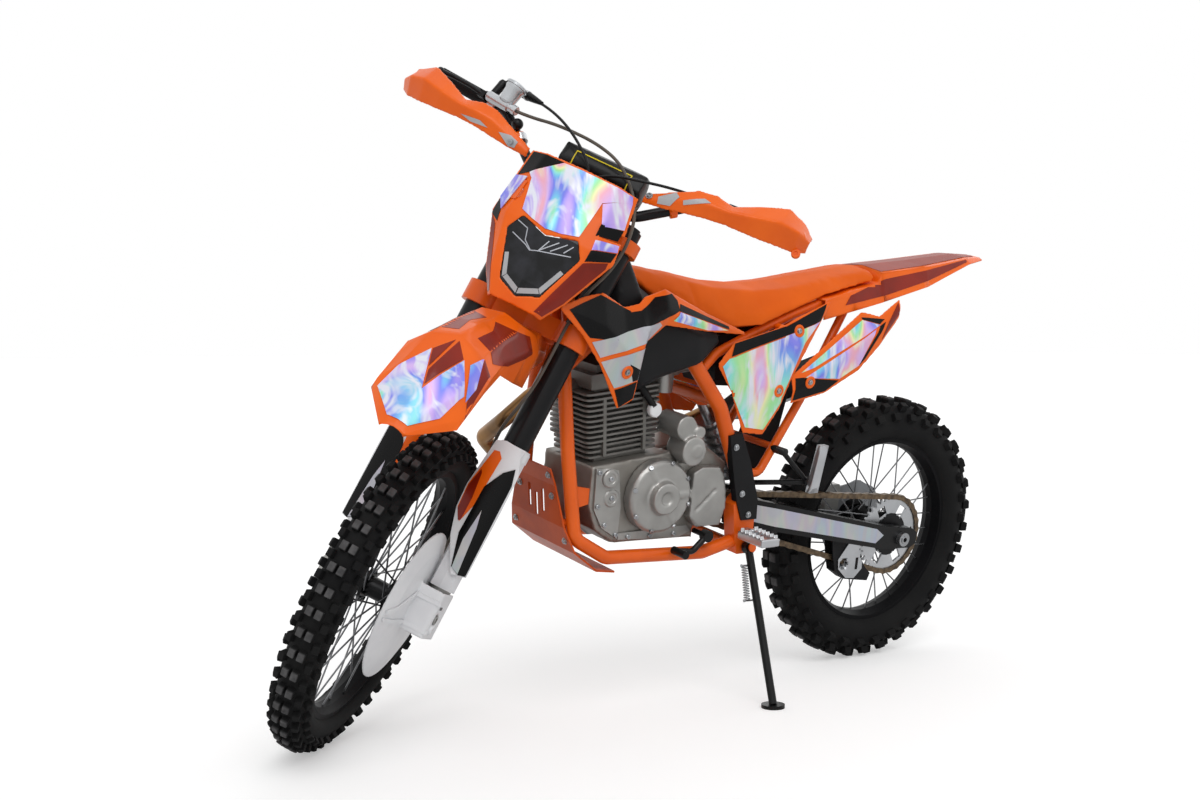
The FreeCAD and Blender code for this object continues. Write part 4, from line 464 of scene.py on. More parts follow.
# Silver foil on the swingarm and shrouds: the same sheet with only a faint rainbow, and pale patches that are
# partly painted glints
SILVER_FOIL = Foil("silver_foil", "#D5D7DC", "#C6C8CE", 0.34, metallic=0.2, least_silver_and_glint=0.86,
                   silver_and_glint="#B4B6BD")
# Vulcanised tyre rubber: black and dull, with lug tops scuffed to grey
FRONT_RUBBER = WheelFinish("front_tyre_rubber", "#111112", "#181818", 0.75, surface=Surface.RUBBER,
                           grain_mm=2.4, depth_mm=0.15, specular=0.14)
REAR_RUBBER = replace(FRONT_RUBBER, name="rear_tyre_rubber", wheel=Wheel.REAR, edge=(330.0, 337.0))
# Black anodised hubs that carry brake discs of ground steel, from 57.5 mm out
FRONT_HUB_METAL = WheelFinish("front_hub_and_disc", "#0C0C0E", "#121214", 0.32, metallic=0.5, worn="#8E9093",
                              edge=(57.0, 58.0), scuffed=False)
REAR_HUB_METAL = replace(FRONT_HUB_METAL, name="rear_hub_and_disc", wheel=Wheel.REAR)

# Which CAD nodes have each finish
NODE_FINISHES: dict[Finish, tuple[str, ...]] = {
    ORANGE: ("shrouds", "side_panels", "tail_panels", "rear_fender", "front_fender", "headlight_mask",
             "handguards"),
    SEAT_VINYL: ("seat",),
    TINTED_PLATE: ("skid_plate",),
    ORANGE_COAT: ("main_frame", "subframe", "triple_clamps"),
    BLACK_PLASTIC: ("fuel_tank", "inner_mudguard", "airbox", "frame_guards", "chain_guide"),
    BLACK_ENAMEL: ("swingarm", "side_stand", "foot_controls", "muffler"),
    BLACK_ANODISED: ("handlebar", "fork_tubes", "levers"),
    RIM_BLACK: ("front_rim", "rear_rim"),
    FRONT_HUB_METAL: ("front_hub",),
    REAR_HUB_METAL: ("rear_hub",),
    PAINTED_FINS: ("engine_cylinder",),
    CAST_ALUMINIUM: ("engine_covers", "carburettor", "fork_legs", "front_caliper", "rear_caliper"),
    DARK_CASE: ("engine_case",),
    BRUSHED_ALUMINIUM: ("bar_clamp", "footpegs", "passenger_pegs", "master_cylinder", "rear_sprocket"),
    STEEL: ("rear_axle", "rear_shock"),
    SPOKE_STEEL: ("front_spokes", "rear_spokes"),
    CHAIN_STEEL: ("chain",),
    HEADER_STEEL: ("exhaust_header",),
    FRONT_RUBBER: ("front_tyre",),
    REAR_RUBBER: ("rear_tyre",),
    SOFT_RUBBER: ("grips",),
    PAD_VINYL: ("bar_pad",),
    WHITE_PLASTIC: ("disc_guard", "fork_guards"),
    LENS: ("headlight",),
    HOSE_COVER: ("brake_hose",),
    CABLE_SHEATH: ("clutch_cable", "throttle_cable"),
}


def dress_nodes() -> None:
    """Give every CAD node the finish that is listed for it."""
    for finish, names in NODE_FINISHES.items():
        for name in names:
            mesh = frame["nodes"][name].data
            mesh.materials.clear()
            mesh.materials.append(finish.material())
    LOG.info("finishes assigned")


# Smoothing angles, in degrees: films, turned and plate trim, mouldings and tyres
FILM_ANGLE = 30.0
TRIM_ANGLE = 35.0
MOULDED_ANGLE = 50.0
TYRE_ANGLE = 40.0
# How strongly one round of the Smooth modifier pulls
SMOOTH_FACTOR = 0.5


def new_object(name: str, data: bpy.types.ID) -> bpy.types.Object:
    """Object with the given data, linked to the scene."""
    made = bpy.data.objects.new(name, data)
    bpy.context.scene.collection.objects.link(made)
    return made


def deselect() -> None:
    """Leave edit mode and deselect everything."""
    if bpy.context.object and bpy.context.object.mode != "OBJECT":
        bpy.ops.object.mode_set(mode="OBJECT")
    bpy.ops.object.select_all(action="DESELECT")


def only(piece: bpy.types.Object) -> None:
    """Make one object the active and only selected one."""
    deselect()
    piece.select_set(True)
    bpy.context.view_layer.objects.active = piece


def edit_all(piece: bpy.types.Object) -> None:
    """Enter edit mode on one object with its whole mesh selected."""
    only(piece)
    bpy.ops.object.mode_set(mode="EDIT")
    bpy.ops.mesh.select_all(action="SELECT")


def bake_place(piece: bpy.types.Object) -> None:
    """Move the object's place into its mesh."""
    only(piece)
    bpy.ops.object.transform_apply(location=True, rotation=True, scale=True)


def smooth(piece: bpy.types.Object, degrees: float) -> None:
    """Shade an object smooth, apart from edges that are sharper than the angle."""
    only(piece)
    bpy.ops.object.shade_smooth_by_angle(angle=math.radians(degrees))


def apply_modifier(piece: bpy.types.Object, kind: str, **settings: Any) -> None:
    """Add one modifier and apply it.

    Args:
        piece: the object that gets it.
        kind: the modifier's type.
        settings: its properties.
    """
    only(piece)
    modifier = piece.modifiers.new(kind.lower(), kind)
    for name, value in settings.items():
        setattr(modifier, name, value)
    bpy.ops.object.modifier_apply(modifier=modifier.name)


def join(pieces: Sequence[bpy.types.Object], name: str) -> bpy.types.Object:
    """Join objects into the first of them.

    Args:
        pieces: the objects.
        name: the joined object's name.

    Returns:
        The joined object.
    """
    deselect()
    for piece in pieces:
        piece.select_set(True)
    bpy.context.view_layer.objects.active = pieces[0]
    if len(pieces) > 1:
        bpy.ops.object.join()
    joined = bpy.context.object
    joined.name = name
    return joined


def finish_piece(piece: bpy.types.Object, finish: Finish, body: str) -> None:
    """Give a finished piece its material and the body that it rides on, and report it.

    Args:
        piece: the object.
        finish: its finish.
        body: the CAD body that it moves with.
    """
    piece.data.materials.clear()
    piece.data.materials.append(finish.material())
    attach(piece, body)
    LOG.info("%s: %d faces", piece.name, len(piece.data.polygons))


class Facing(Enum):
    """Which way the outer side of a flat sheet looks."""

    FRONT = "front"
    LEFT = "left"
    RIGHT = "right"

    def sign(self) -> float:
        """Sign that an outline's first numbers take in the sheet's own plane."""
        return -1.0 if self is Facing.LEFT else 1.0


def basis_of(body: str) -> Matrix:
    """Frame that a body's pieces are drawn in."""
    return STEERING if body == "steering" else BIKE


def surface_of(name: str) -> bpy.types.Object:
    """Object that trim is pressed on to: the moulded piece that stands for a node, or the node itself."""
    return bpy.data.objects.get(name + "_moulded") or frame["nodes"].get(name) or bpy.data.objects[name]


def sheet_plane(body: str, facing: Facing, pitch: float, start: float) -> Matrix:
    """Frame of a flat sheet before it is pressed on, its third direction looking outward.

    Args:
        body: the body whose frame the sheet is drawn in.
        facing: where its outer side looks.
        pitch: how far a sheet that looks ahead is tipped back, in degrees.
        start: its distance from the frame's origin, in millimetres.

    Returns:
        The sheet's matrix in the row frame.
    """
    if facing is Facing.FRONT:
        tip = math.radians(pitch)
        across = Vector((0.0, 1.0, 0.0))
        up = Vector((-math.sin(tip), 0.0, math.cos(tip)))
    else:
        across = Vector((facing.sign(), 0.0, 0.0))
        up = Vector((0.0, 0.0, 1.0))
    outward = across.cross(up)
    return basis_of(body) @ frame_matrix(outward * start * MM, across, up, outward)


def plane_points(outline: Outline, sign: float = 1.0) -> list[Vector]:
    """Points of an outline in its sheet's own plane, in metres."""
    return [Vector((sign * a * MM, b * MM, 0.0)) for a, b in outline]


def anticlockwise(points: list[Vector]) -> list[Vector]:
    """The same points, turned around where they ran clockwise."""
    area = sum(p.x * q.y - q.x * p.y for p, q in zip(points, points[1:] + points[:1]))
    return points if area > 0 else points[::-1]


def cut_sheet(name: str, corners: Sequence[Vector], cell: float) -> bpy.types.Object:
    """Cut a gridded sheet to a convex outline.

    Args:
        name: the new object's name.
        corners: the outline, anticlockwise, in metres.
        cell: the grid's step in millimetres.

    Returns:
        The flat sheet, in its own plane.
    """
    low = Vector((min(p.x for p in corners), min(p.y for p in corners), 0.0))
    high = Vector((max(p.x for p in corners), max(p.y for p in corners), 0.0))
    size = high - low
    deselect()
    bpy.ops.mesh.primitive_grid_add(x_subdivisions=max(2, int(size.x / (cell * MM))),
                                    y_subdivisions=max(2, int(size.y / (cell * MM))), size=1.0)
    sheet = bpy.context.object
    sheet.name = name
    sheet.scale = (size.x, size.y, 1.0)
    sheet.location = (low + high) / 2.0
    bake_place(sheet)
    bpy.ops.object.mode_set(mode="EDIT")
    for corner, after in zip(corners, list(corners[1:]) + [corners[0]]):
        edge = (after - corner).normalized()
        bpy.ops.mesh.select_all(action="SELECT")
        bpy.ops.mesh.bisect(plane_co=corner, plane_no=(edge.y, -edge.x, 0.0), clear_outer=True)
    bpy.ops.object.mode_set(mode="OBJECT")
    return sheet


@dataclass(frozen=True)
class Sticker:
    """Thin film cut to a convex outline and pressed on to a surface.

    The outline is in millimetres: (across, up) for a sheet that looks ahead, and (ahead, up) for the sides.
    The sheet starts outside the piece, at a distance from the frame's origin, and is pressed inward until it
    lies above the target by lift. A flat one bridges a slot instead, level with the points beside it. Those
    are the points that aren't deeper than the middle one by more than dip.
    """

    name: str
    target: str
    outline: Outline
    finish: Finish
    body: str = "frame"
    slot: str = "orange_plastic"
    facing: Facing = Facing.LEFT
    pitch: float = 0.0
    start: float = 300.0
    lift: float = 0.8
    cell: float = 5.0
    thickness: float = 0.4
    flat: bool = False
    dip: float = 14.0
    both: bool = False
    # Points nearer than this to the sheet's own plane, in metres, found nothing to stick to
    unmoved: float = 1e-6
    # A flat sheet's plane is fitted in rounds. Each drops the points that lie lower than it by this many
    # spreads and by this depth in millimetres
    fit_rounds: int = 3
    fit_spreads: float = 1.2
    fit_depth: float = 1.0

    def build(self) -> None:
        """Make the sheet, and its twin on the other side where there is one."""
        self.press(self.name, self.facing)
        if self.both:
            self.press(self.name + "_right", Facing.RIGHT)

    def press(self, name: str, facing: Facing) -> bpy.types.Object:
        """Cut one sheet, press it on and give it its thickness.

        Args:
            name: the sheet's name.
            facing: where its outer side looks.

        Returns:
            The finished sheet.
        """
        sheet = cut_sheet(name, anticlockwise(plane_points(self.outline, facing.sign())), self.cell)
        sheet.matrix_world = sheet_plane(self.body, facing, self.pitch, self.start)
        bpy.context.view_layer.update()
        under = surface_of(self.target)
        apply_modifier(sheet, "SHRINKWRAP", target=under, wrap_method="PROJECT", use_project_z=True,
                       use_negative_direction=True, use_positive_direction=False, offset=self.lift * MM)
        if self.flat:
            self.flatten(sheet)
        else:
            self.settle(sheet)
        apply_modifier(sheet, "SOLIDIFY", thickness=self.thickness * MM, offset=1.0)
        bake_place(sheet)
        smooth(sheet, FILM_ANGLE)
        finish_piece(sheet, self.finish, self.body)
        return sheet

    def flatten(self, sheet: bpy.types.Object) -> None:
        """Lay the sheet over a slot, on the plane through the points that lie beside it.

        Args:
            sheet: the pressed sheet, in its own plane.
        """
        places = np.array([tuple(vert.co) for vert in sheet.data.vertices])
        stuck = places[places[:, 2] < -self.unmoved]
        beside = stuck[stuck[:, 2] > np.median(stuck[:, 2]) - self.dip * MM]
        for _ in range(self.fit_rounds):
            grid = np.c_[beside[:, :2], np.ones(len(beside))]
            plane = np.linalg.lstsq(grid, beside[:, 2], rcond=None)[0]
            miss = beside[:, 2] - grid @ plane
            beside = beside[miss > -max(self.fit_depth * MM, self.fit_spreads * miss.std())]
        for vert in sheet.data.vertices:
            vert.co.z = float(plane[0] * vert.co.x + plane[1] * vert.co.y + plane[2])

    def settle(self, sheet: bpy.types.Object) -> None:
        """Delete the points that found nothing to stick to.

        Args:
            sheet: the pressed sheet, in its own plane.
        """
        mesh = bmesh.new()
        mesh.from_mesh(sheet.data)
        loose = [v for v in mesh.verts if abs(v.co.z) < self.unmoved]
        if loose:
            LOG.info("%s: %d of %d points miss", sheet.name, len(loose), len(mesh.verts))
        bmesh.ops.delete(mesh, geom=loose, context="VERTS")
        mesh.to_mesh(sheet.data)
        mesh.free()


@dataclass(frozen=True)
class Plate:
    """Moulded plate with a convex outline, arched across and rounded at its rim.

    The plate looks ahead at a distance from the frame's origin, and falls away to each side of its middle.
    """

    name: str
    outline: Outline
    finish: Finish
    start: float
    middle: float
    fall: float
    thickness: float = 2.4
    body: str = "steering"
    slot: str = "guard_white"
    cell: float = 6.0
    rim: float = 0.9
    rim_angle: float = 50.0

    def build(self) -> bpy.types.Object:
        """Cut the plate, arch it and round its rim.

        Returns:
            The finished plate.
        """
        points = anticlockwise(plane_points(self.outline))
        plate = cut_sheet(self.name, points, self.cell)
        half = max(abs(p.x / MM - self.middle) for p in points)
        for vert in plate.data.vertices:
            part = (vert.co.x / MM - self.middle) / half
            vert.co.z = -self.fall * MM * part * part
        plate.matrix_world = sheet_plane(self.body, Facing.FRONT, 0.0, self.start)
        bpy.context.view_layer.update()
        apply_modifier(plate, "SOLIDIFY", thickness=self.thickness * MM, offset=-1.0)
        apply_modifier(plate, "BEVEL", width=self.rim * MM, segments=2, limit_method="ANGLE",
                       angle_limit=math.radians(self.rim_angle))
        bake_place(plate)
        smooth(plate, TRIM_ANGLE)
        finish_piece(plate, self.finish, self.body)
        return plate


def turned(name: str, profile: Outline, sides: int = 24) -> bpy.types.Object:
    """Turn a solid of revolution along its third direction.

    Args:
        name: the object's name.
        profile: (radius, height) steps in millimetres, from the bottom up.
        sides: how many sides it has.

    Returns:
        The object at the origin.
    """
    radius, height = profile[0]
    deselect()
    bpy.ops.mesh.primitive_circle_add(vertices=sides, radius=radius * MM, fill_type="NGON",
                                      location=(0.0, 0.0, height * MM))
    piece = bpy.context.object
    piece.name = name
    bake_place(piece)
    edit_all(piece)
    for wider, higher in profile[1:]:
        bpy.ops.mesh.extrude_region_move(TRANSFORM_OT_translate={"value": (0.0, 0.0, (higher - height) * MM)})
        scale = wider / radius
        bpy.ops.transform.resize(value=(scale, scale, 1.0))
        radius, height = wider, higher
    bpy.ops.mesh.select_all(action="SELECT")
    bpy.ops.mesh.normals_make_consistent(inside=False)
    bpy.ops.object.mode_set(mode="OBJECT")
    smooth(piece, TRIM_ANGLE)
    return piece


def aimed(origin: Vector, outward: Vector) -> Matrix:
    """Frame at a point with its third direction along outward."""
    side = outward.orthogonal().normalized()
    return frame_matrix(origin, side, outward.cross(side), outward)


def copies(pattern: bpy.types.Object, name: str, places: Sequence[Matrix]) -> bpy.types.Object:
    """Copy a pattern to each place, join the copies and remove the pattern.

    Args:
        pattern: the object that is repeated.
        name: the joined object's name.
        places: where each copy goes.

    Returns:
        The joined object, unturned and at the origin.
    """
    made = []
    for place in places:
        twin = new_object(pattern.name, pattern.data.copy())
        twin.data.transform(place)
        made.append(twin)
    bpy.data.objects.remove(pattern, do_unlink=True)
    return join(made, name)


@dataclass(frozen=True)
class Fastener:
    """Like bolts, grommets or bosses on one surface, each standing on it.

    The spots are in millimetres, as a sticker's outline is, and the profile holds (radius, height) steps.
    """

    name: str
    target: str
    spots: Outline
    profile: Outline
    finish: Finish
    body: str = "frame"
    slot: str = "steel"
    facing: Facing = Facing.LEFT
    start: float = 300.0
    sides: int = 24
    both: bool = False

    def places(self, facing: Facing) -> list[Matrix]:
        """Find where the fasteners stand on the surface.

        Args:
            facing: where the surface looks.

        Returns:
            A frame for each, its third direction off the surface.
        """
        plane = sheet_plane(self.body, facing, 0.0, self.start)
        under = surface_of(self.target)
        inward = -plane.to_3x3().col[2]
        found = []
        for spot in plane_points(self.spots, facing.sign()):
            met, point, normal, _ = under.ray_cast(plane @ spot, inward)
            if met:
                found.append(aimed(point, normal if normal.dot(inward) < 0 else -normal))
            else:
                LOG.info("%s: no surface at %.3f, %.3f", self.name, spot.x, spot.y)
        return found

    def build(self) -> None:
        """Make one fastener and copy it to its places."""
        places = self.places(self.facing)
        if self.both:
            places.extend(self.places(Facing.RIGHT))
        if places:
            pattern = turned(self.name, self.profile, self.sides)
            finish_piece(copies(pattern, self.name, places), self.finish, self.body)


@dataclass(frozen=True)
class Boot:
    """Turned sleeve, ferrule or ball that starts at one point of a body's frame and looks toward another."""

    name: str
    start: Point
    toward: Point
    profile: Outline
    finish: Finish
    body: str = "steering"
    slot: str = "black_plastic"
    sides: int = 24

    def build(self) -> bpy.types.Object:
        """Turn it and lay it along its line.

        Returns:
            The finished piece.
        """
        basis = basis_of(self.body)
        first = basis @ (Vector(self.start) * MM)
        second = basis @ (Vector(self.toward) * MM)
        piece = copies(turned(self.name, self.profile, self.sides), self.name,
                       [aimed(first, (second - first).normalized())])
        finish_piece(piece, self.finish, self.body)
        return piece


@dataclass(frozen=True)
class Cord:
    """Hose or cable: the route's points in the steering frame, in millimetres, as one smooth curve."""

    name: str
    route: tuple[Point, ...]
    radius: float
    length: float
    finish: Finish
    slot: str = "cable"
    stiffness: str = "stiff"
    round_steps: int = 4
    length_steps: int = 10

    def build(self) -> bpy.types.Object:
        """Returns:
            The curve's object.
        """
        data = bpy.data.curves.new(self.name, "CURVE")
        data.dimensions = "3D"
        data.bevel_depth = self.radius * MM
        data.bevel_resolution = self.round_steps
        data.resolution_u = self.length_steps
        data.use_fill_caps = True
        spline = data.splines.new("NURBS")
        spline.points.add(len(self.route) - 1)
        places = [STEERING @ (Vector(point) * MM) for point in self.route]
        for point, place in zip(spline.points, places):
            point.co = (*place, 1.0)
        spline.order_u = 3
        spline.use_endpoint_u = True
        piece = new_object(self.name + "_line", data)
        data.materials.append(self.finish.material())
        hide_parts(self.name)
        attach(piece, "steering")
        LOG.info("%s drawn", piece.name)
        return piece


# Points of a mesh that are nearer than this, in millimetres, become one
MERGE_DISTANCE = 0.01


def node_copy(name: str, title: str) -> bpy.types.Object:
    """Copy a CAD node's mesh into a new object with its points merged.

    Args:
        name: the node.
        title: the new object's name.

    Returns:
        The new object.
    """
    piece = new_object(title, frame["nodes"][name].data.copy())
    edit_all(piece)
    bpy.ops.mesh.remove_doubles(threshold=MERGE_DISTANCE * MM)
    bpy.ops.object.mode_set(mode="OBJECT")
    return piece


@dataclass(frozen=True)
class Moulding:
    """Moulded or cast piece with the form of a CAD node, its edges softened as its mould leaves them.

    A voxel of 0 means walls that are too thin to remesh.
    """

    node: str
    finish: Finish
    body: str
    slot: str
    voxel: float = 2.5
    softening: int = 4

    def build(self) -> bpy.types.Object:
        """Remesh a copy of the node finely and soften it, or only smooth it where its walls are too thin.

        Returns:
            The finished piece.
        """
        piece = node_copy(self.node, self.node + "_moulded")
        if self.voxel > 0.0:
            apply_modifier(piece, "REMESH", mode="VOXEL", voxel_size=self.voxel * MM)
            apply_modifier(piece, "SMOOTH", factor=SMOOTH_FACTOR, iterations=self.softening)
            bpy.ops.object.shade_smooth()
        else:
            smooth(piece, MOULDED_ANGLE)
        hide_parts(self.node)
        finish_piece(piece, self.finish, self.body)
        return piece


@dataclass
class Padding:
    """Foam under a stretched cover, made from a CAD node by a short cloth simulation.

    The copy starts smaller by shrink and swells into the node's form. No point moves further than cap.
    """

    node: str
    title: str
    finish: Finish
    body: str
    slot: str
    shrink: float = 3.0
    voxel: float = 6.0
    pressure: float = 4.0
    cap: float = 5.0
    softening: int = 6
    fill: float = 0.9
    cloth_steps: int = 20
    cloth_quality: int = 5

    def build(self) -> bpy.types.Object:
        """Remesh a copy of the node, swell it, cap its movement and dress it.

        Returns:
            The finished cushion.
        """
        piece = node_copy(self.node, self.title)
        apply_modifier(piece, "REMESH", mode="VOXEL", voxel_size=self.voxel * MM)
        apply_modifier(piece, "DISPLACE", strength=-self.shrink * MM, mid_level=0.0)
        apply_modifier(piece, "SMOOTH", factor=SMOOTH_FACTOR, iterations=self.softening)
        self.swell(piece)
        apply_modifier(piece, "SUBSURF", levels=1, render_levels=1)
        bpy.ops.object.shade_smooth()
        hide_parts(self.node)
        finish_piece(piece, self.finish, self.body)
        return piece

    def swell(self, piece: bpy.types.Object) -> None:
        """Run the cloth under pressure and keep each point within the cap.

        Args:
            piece: the cushion.
        """
        before = [vert.co.copy() for vert in piece.data.vertices]
        only(piece)
        cloth = piece.modifiers.new("cloth", "CLOTH")
        cloth.settings.use_pressure = True
        cloth.settings.uniform_pressure_force = self.pressure
        cloth.settings.effector_weights.gravity = 0.0
        cloth.settings.quality = self.cloth_quality
        cloth.point_cache.frame_start = 1
        cloth.point_cache.frame_end = self.cloth_steps
        for step in range(1, self.cloth_steps + 1):
            bpy.context.scene.frame_set(step)
        bpy.ops.object.modifier_apply(modifier=cloth.name)
        limit = self.cap * MM
        for vert, place in zip(piece.data.vertices, before):
            moved = vert.co - place
            if moved.length > limit:
                vert.co = place + moved.normalized() * limit
        bpy.context.scene.frame_set(1)


@dataclass
class Seat(Padding):
    """Long seat: one foam piece under pebbled orange vinyl."""

    node: str = "seat"
    title: str = "seat_cushion"
    finish: Finish = SEAT_VINYL
    body: str = "frame"
    slot: str = "seat_vinyl"


@dataclass
class BarPad(Padding):
    """Foam pad on the handlebar's middle, in black vinyl."""

    node: str = "bar_pad"
    title: str = "bar_cushion"
    finish: Finish = PAD_VINYL
    body: str = "steering"
    slot: str = "grip_rubber"
    shrink: float = 2.0
    voxel: float = 4.0
    cap: float = 4.0


@dataclass(frozen=True)
class Lug:
    """One block of the tread: its place across the tyre, its tilt in degrees and its size in millimetres.

    A late one stands half a row further round, between the lugs beside it.
    """

    across: float
    tilt: float
    width: float
    length: float
    height: float
    late: bool = False


@dataclass(frozen=True)
class KnobbyTyre:
    """Tyre with a smooth carcass and rows of moulded lugs.

    The carcass holds (across, radius) points from its crown to its bead. A lug's foot is sunk into the
    carcass, and its top is narrowed along and across by the taper.
    """

    node: str
    wheel: Wheel
    carcass: Outline
    lugs: tuple[Lug, ...]
    rows: int
    finish: Finish
    spin_steps: int = 96
    merge: float = 0.02
    sink: float = 2.0
    taper: tuple[float, float] = (0.86, 0.88)
    edge: float = 1.0

    def radius_at(self, across: float) -> float:
        """Radius of the carcass at a distance from its middle plane.

        Args:
            across: the distance, in millimetres.

        Returns:
            The radius, in millimetres.
        """
        for (near, high), (far, low) in zip(self.carcass, self.carcass[1:]):
            if near <= across <= far:
                return high + (low - high) * (across - near) / (far - near)
        return self.carcass[-1][1]

    def shell(self) -> bpy.types.Object:
        """Spin the carcass around the axle.

        Returns:
            The closed carcass, at the origin.
        """
        mirrored = [(-across, radius) for across, radius in self.carcass[::-1] if across > 0.0]
        line = list(self.carcass) + mirrored
        data = bpy.data.meshes.new(self.node + "_carcass")
        corners = [(0.0, across * MM, radius * MM) for across, radius in line]
        data.from_pydata(corners, [(k, (k + 1) % len(corners)) for k in range(len(corners))], [])
        shell = new_object(self.node + "_carcass", data)
        edit_all(shell)
        bpy.ops.mesh.spin(steps=self.spin_steps, angle=2.0 * math.pi, center=(0.0, 0.0, 0.0),
                          axis=(0.0, 1.0, 0.0))
        bpy.ops.mesh.select_all(action="SELECT")
        bpy.ops.mesh.remove_doubles(threshold=self.merge * MM)
        bpy.ops.mesh.normals_make_consistent(inside=False)
        bpy.ops.object.mode_set(mode="OBJECT")
        smooth(shell, TYRE_ANGLE)
        return shell

    def block(self, lug: Lug, side: float) -> bpy.types.Object:
        """Model one lug at the top of the tyre.

        Args:
            lug: its sizes.
            side: 1 on the left of the tyre's middle and -1 on the right.

        Returns:
            The lug, its foot inside the carcass.
        """
        deselect()
        bpy.ops.mesh.primitive_cube_add(size=1.0)
        block = bpy.context.object
        block.scale = (lug.length * MM, lug.width * MM, (lug.height + self.sink) * MM)
        block.location = (0.0, 0.0, (lug.height - self.sink) / 2.0 * MM)
        bake_place(block)
        for vert in block.data.vertices:
            if vert.co.z > 0.0:
                vert.co.x *= self.taper[0]
                vert.co.y *= self.taper[1]
        apply_modifier(block, "BEVEL", width=self.edge * MM, segments=1, limit_method="ANGLE")
        lean = Matrix.Rotation(-side * math.radians(lug.tilt), 4, "X")
        up = Matrix.Translation((0.0, side * lug.across * MM, self.radius_at(lug.across) * MM))
        turn = math.pi / self.rows if lug.late else 0.0
        block.data.transform(Matrix.Rotation(turn, 4, "Y") @ up @ lean)
        return block

    def row(self) -> bpy.types.Object:
        """Model one row of lugs, each on both sides unless it stands in the middle.

        Returns:
            The joined row, at the top of the tyre.
        """
        blocks = []
        for lug in self.lugs:
            sides = (1.0, -1.0) if lug.across > 0.0 else (1.0,)
            blocks.extend(self.block(lug, side) for side in sides)
        return join(blocks, self.node + "_row")

    def build(self) -> bpy.types.Object:
        """Join the carcass and all rows, put the tyre on its wheel and replace the CAD tyre.

        Returns:
            The finished tyre.
        """
        shell = self.shell()
        step = 2.0 * math.pi / self.rows
        tread = copies(self.row(), self.node + "_tread",
                       [Matrix.Rotation(k * step, 4, "Y") for k in range(self.rows)])
        tyre = join([shell, tread], self.node + "_rubber")
        tyre.data.transform(self.wheel.hub())
        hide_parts(self.node)
        finish_piece(tyre, self.finish, self.wheel.value)
        return tyre


@dataclass(frozen=True)
class TurnedSet:
    """Several turned solids that make one piece and stand for a CAD node."""

    name: str
    node: str
    parts: tuple[Boot, ...]
    finish: Finish
    body: str = "steering"
    slot: str = "alloy"

    def build(self) -> bpy.types.Object:
        """Turn the parts, join them and replace the node.

        Returns:
            The finished piece.
        """
        joined = join([part.build() for part in self.parts], self.name)
        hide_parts(self.node)
        finish_piece(joined, self.finish, self.body)
        return joined


@dataclass(frozen=True)
class FoldedPeg:
    """Passenger peg folded up: polished peg on a black rod bracket.

    The peg is what lies outside peg_side and behind bolt_ahead, in millimetres of the bike's frame.
    """

    node: str = "passenger_pegs"
    peg_side: float = 133.2
    bolt_ahead: float = 400.0

    def build(self) -> bpy.types.Object:
        """Copy the node and finish its peg and its bracket each in their own metal.

        Returns:
            The finished piece.
        """
        piece = node_copy(self.node, "passenger_peg_set")
        smooth(piece, TRIM_ANGLE)
        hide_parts(self.node)
        finish_piece(piece, BLACK_ENAMEL, "frame")
        piece.data.materials.append(BRUSHED_ALUMINIUM.material())
        inward = BIKE.inverted()
        for face in piece.data.polygons:
            place = (inward @ face.center) / MM
            if place.y > self.peg_side and place.x < self.bolt_ahead:
                face.material_index = 1
        return piece


@dataclass(frozen=True)
class StandSpring:
    """Return spring beside the side stand's leg, between two headed pins."""

    wire: float = 1.4
    wire_sides: int = 8
    coil: float = 6.5
    turns: int = 14
    turn_steps: int = 16
    length: float = 78.0
    eye_half: float = 8.0
    beside: float = 16.5
    below: float = 40.0
    pin_profile: Outline = ((2.2, -16.0), (2.2, 7.0), (3.4, 7.2), (3.4, 9.4))

    def build(self) -> bpy.types.Object:
        """Wind the spring with a Screw modifier and lay it along the leg, a pin at each end.

        Returns:
            The finished spring.
        """
        pivot, axis = joint_place("side_stand_fold")
        (low_x, low_y, low_z), (high_x, high_y, _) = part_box("side_stand")
        foot = Vector(((low_x + high_x) / 2.0, (low_y + high_y) / 2.0, low_z))
        pivot = pivot + axis * self.eye_half * MM
        along = (foot - pivot).normalized()
        deselect()
        bpy.ops.mesh.primitive_circle_add(vertices=self.wire_sides, radius=self.wire * MM,
                                          rotation=(math.pi / 2.0, 0.0, 0.0),
                                          location=(self.coil * MM, 0.0, 0.0))
        spring = bpy.context.object
        spring.name = "stand_spring"
        bake_place(spring)
        apply_modifier(spring, "SCREW", screw_offset=self.length * MM / self.turns, iterations=self.turns,
                       steps=self.turn_steps, render_steps=self.turn_steps, axis="Z")
        side = along.cross(axis).normalized()
        start = pivot + along * self.below * MM + side * self.beside * MM
        spring.data.transform(aimed(start, along))
        pins = copies(turned("spring_pins", self.pin_profile), "spring_pins",
                      [aimed(start, side), aimed(start + along * self.length * MM, side)])
        finish_piece(pins, STEEL, "side_stand")
        only(spring)
        bpy.ops.object.shade_smooth()
        finish_piece(spring, STEEL, "side_stand")
        return spring


# Facing of the trim that is drawn as it is seen from ahead
FRONT = Facing.FRONT

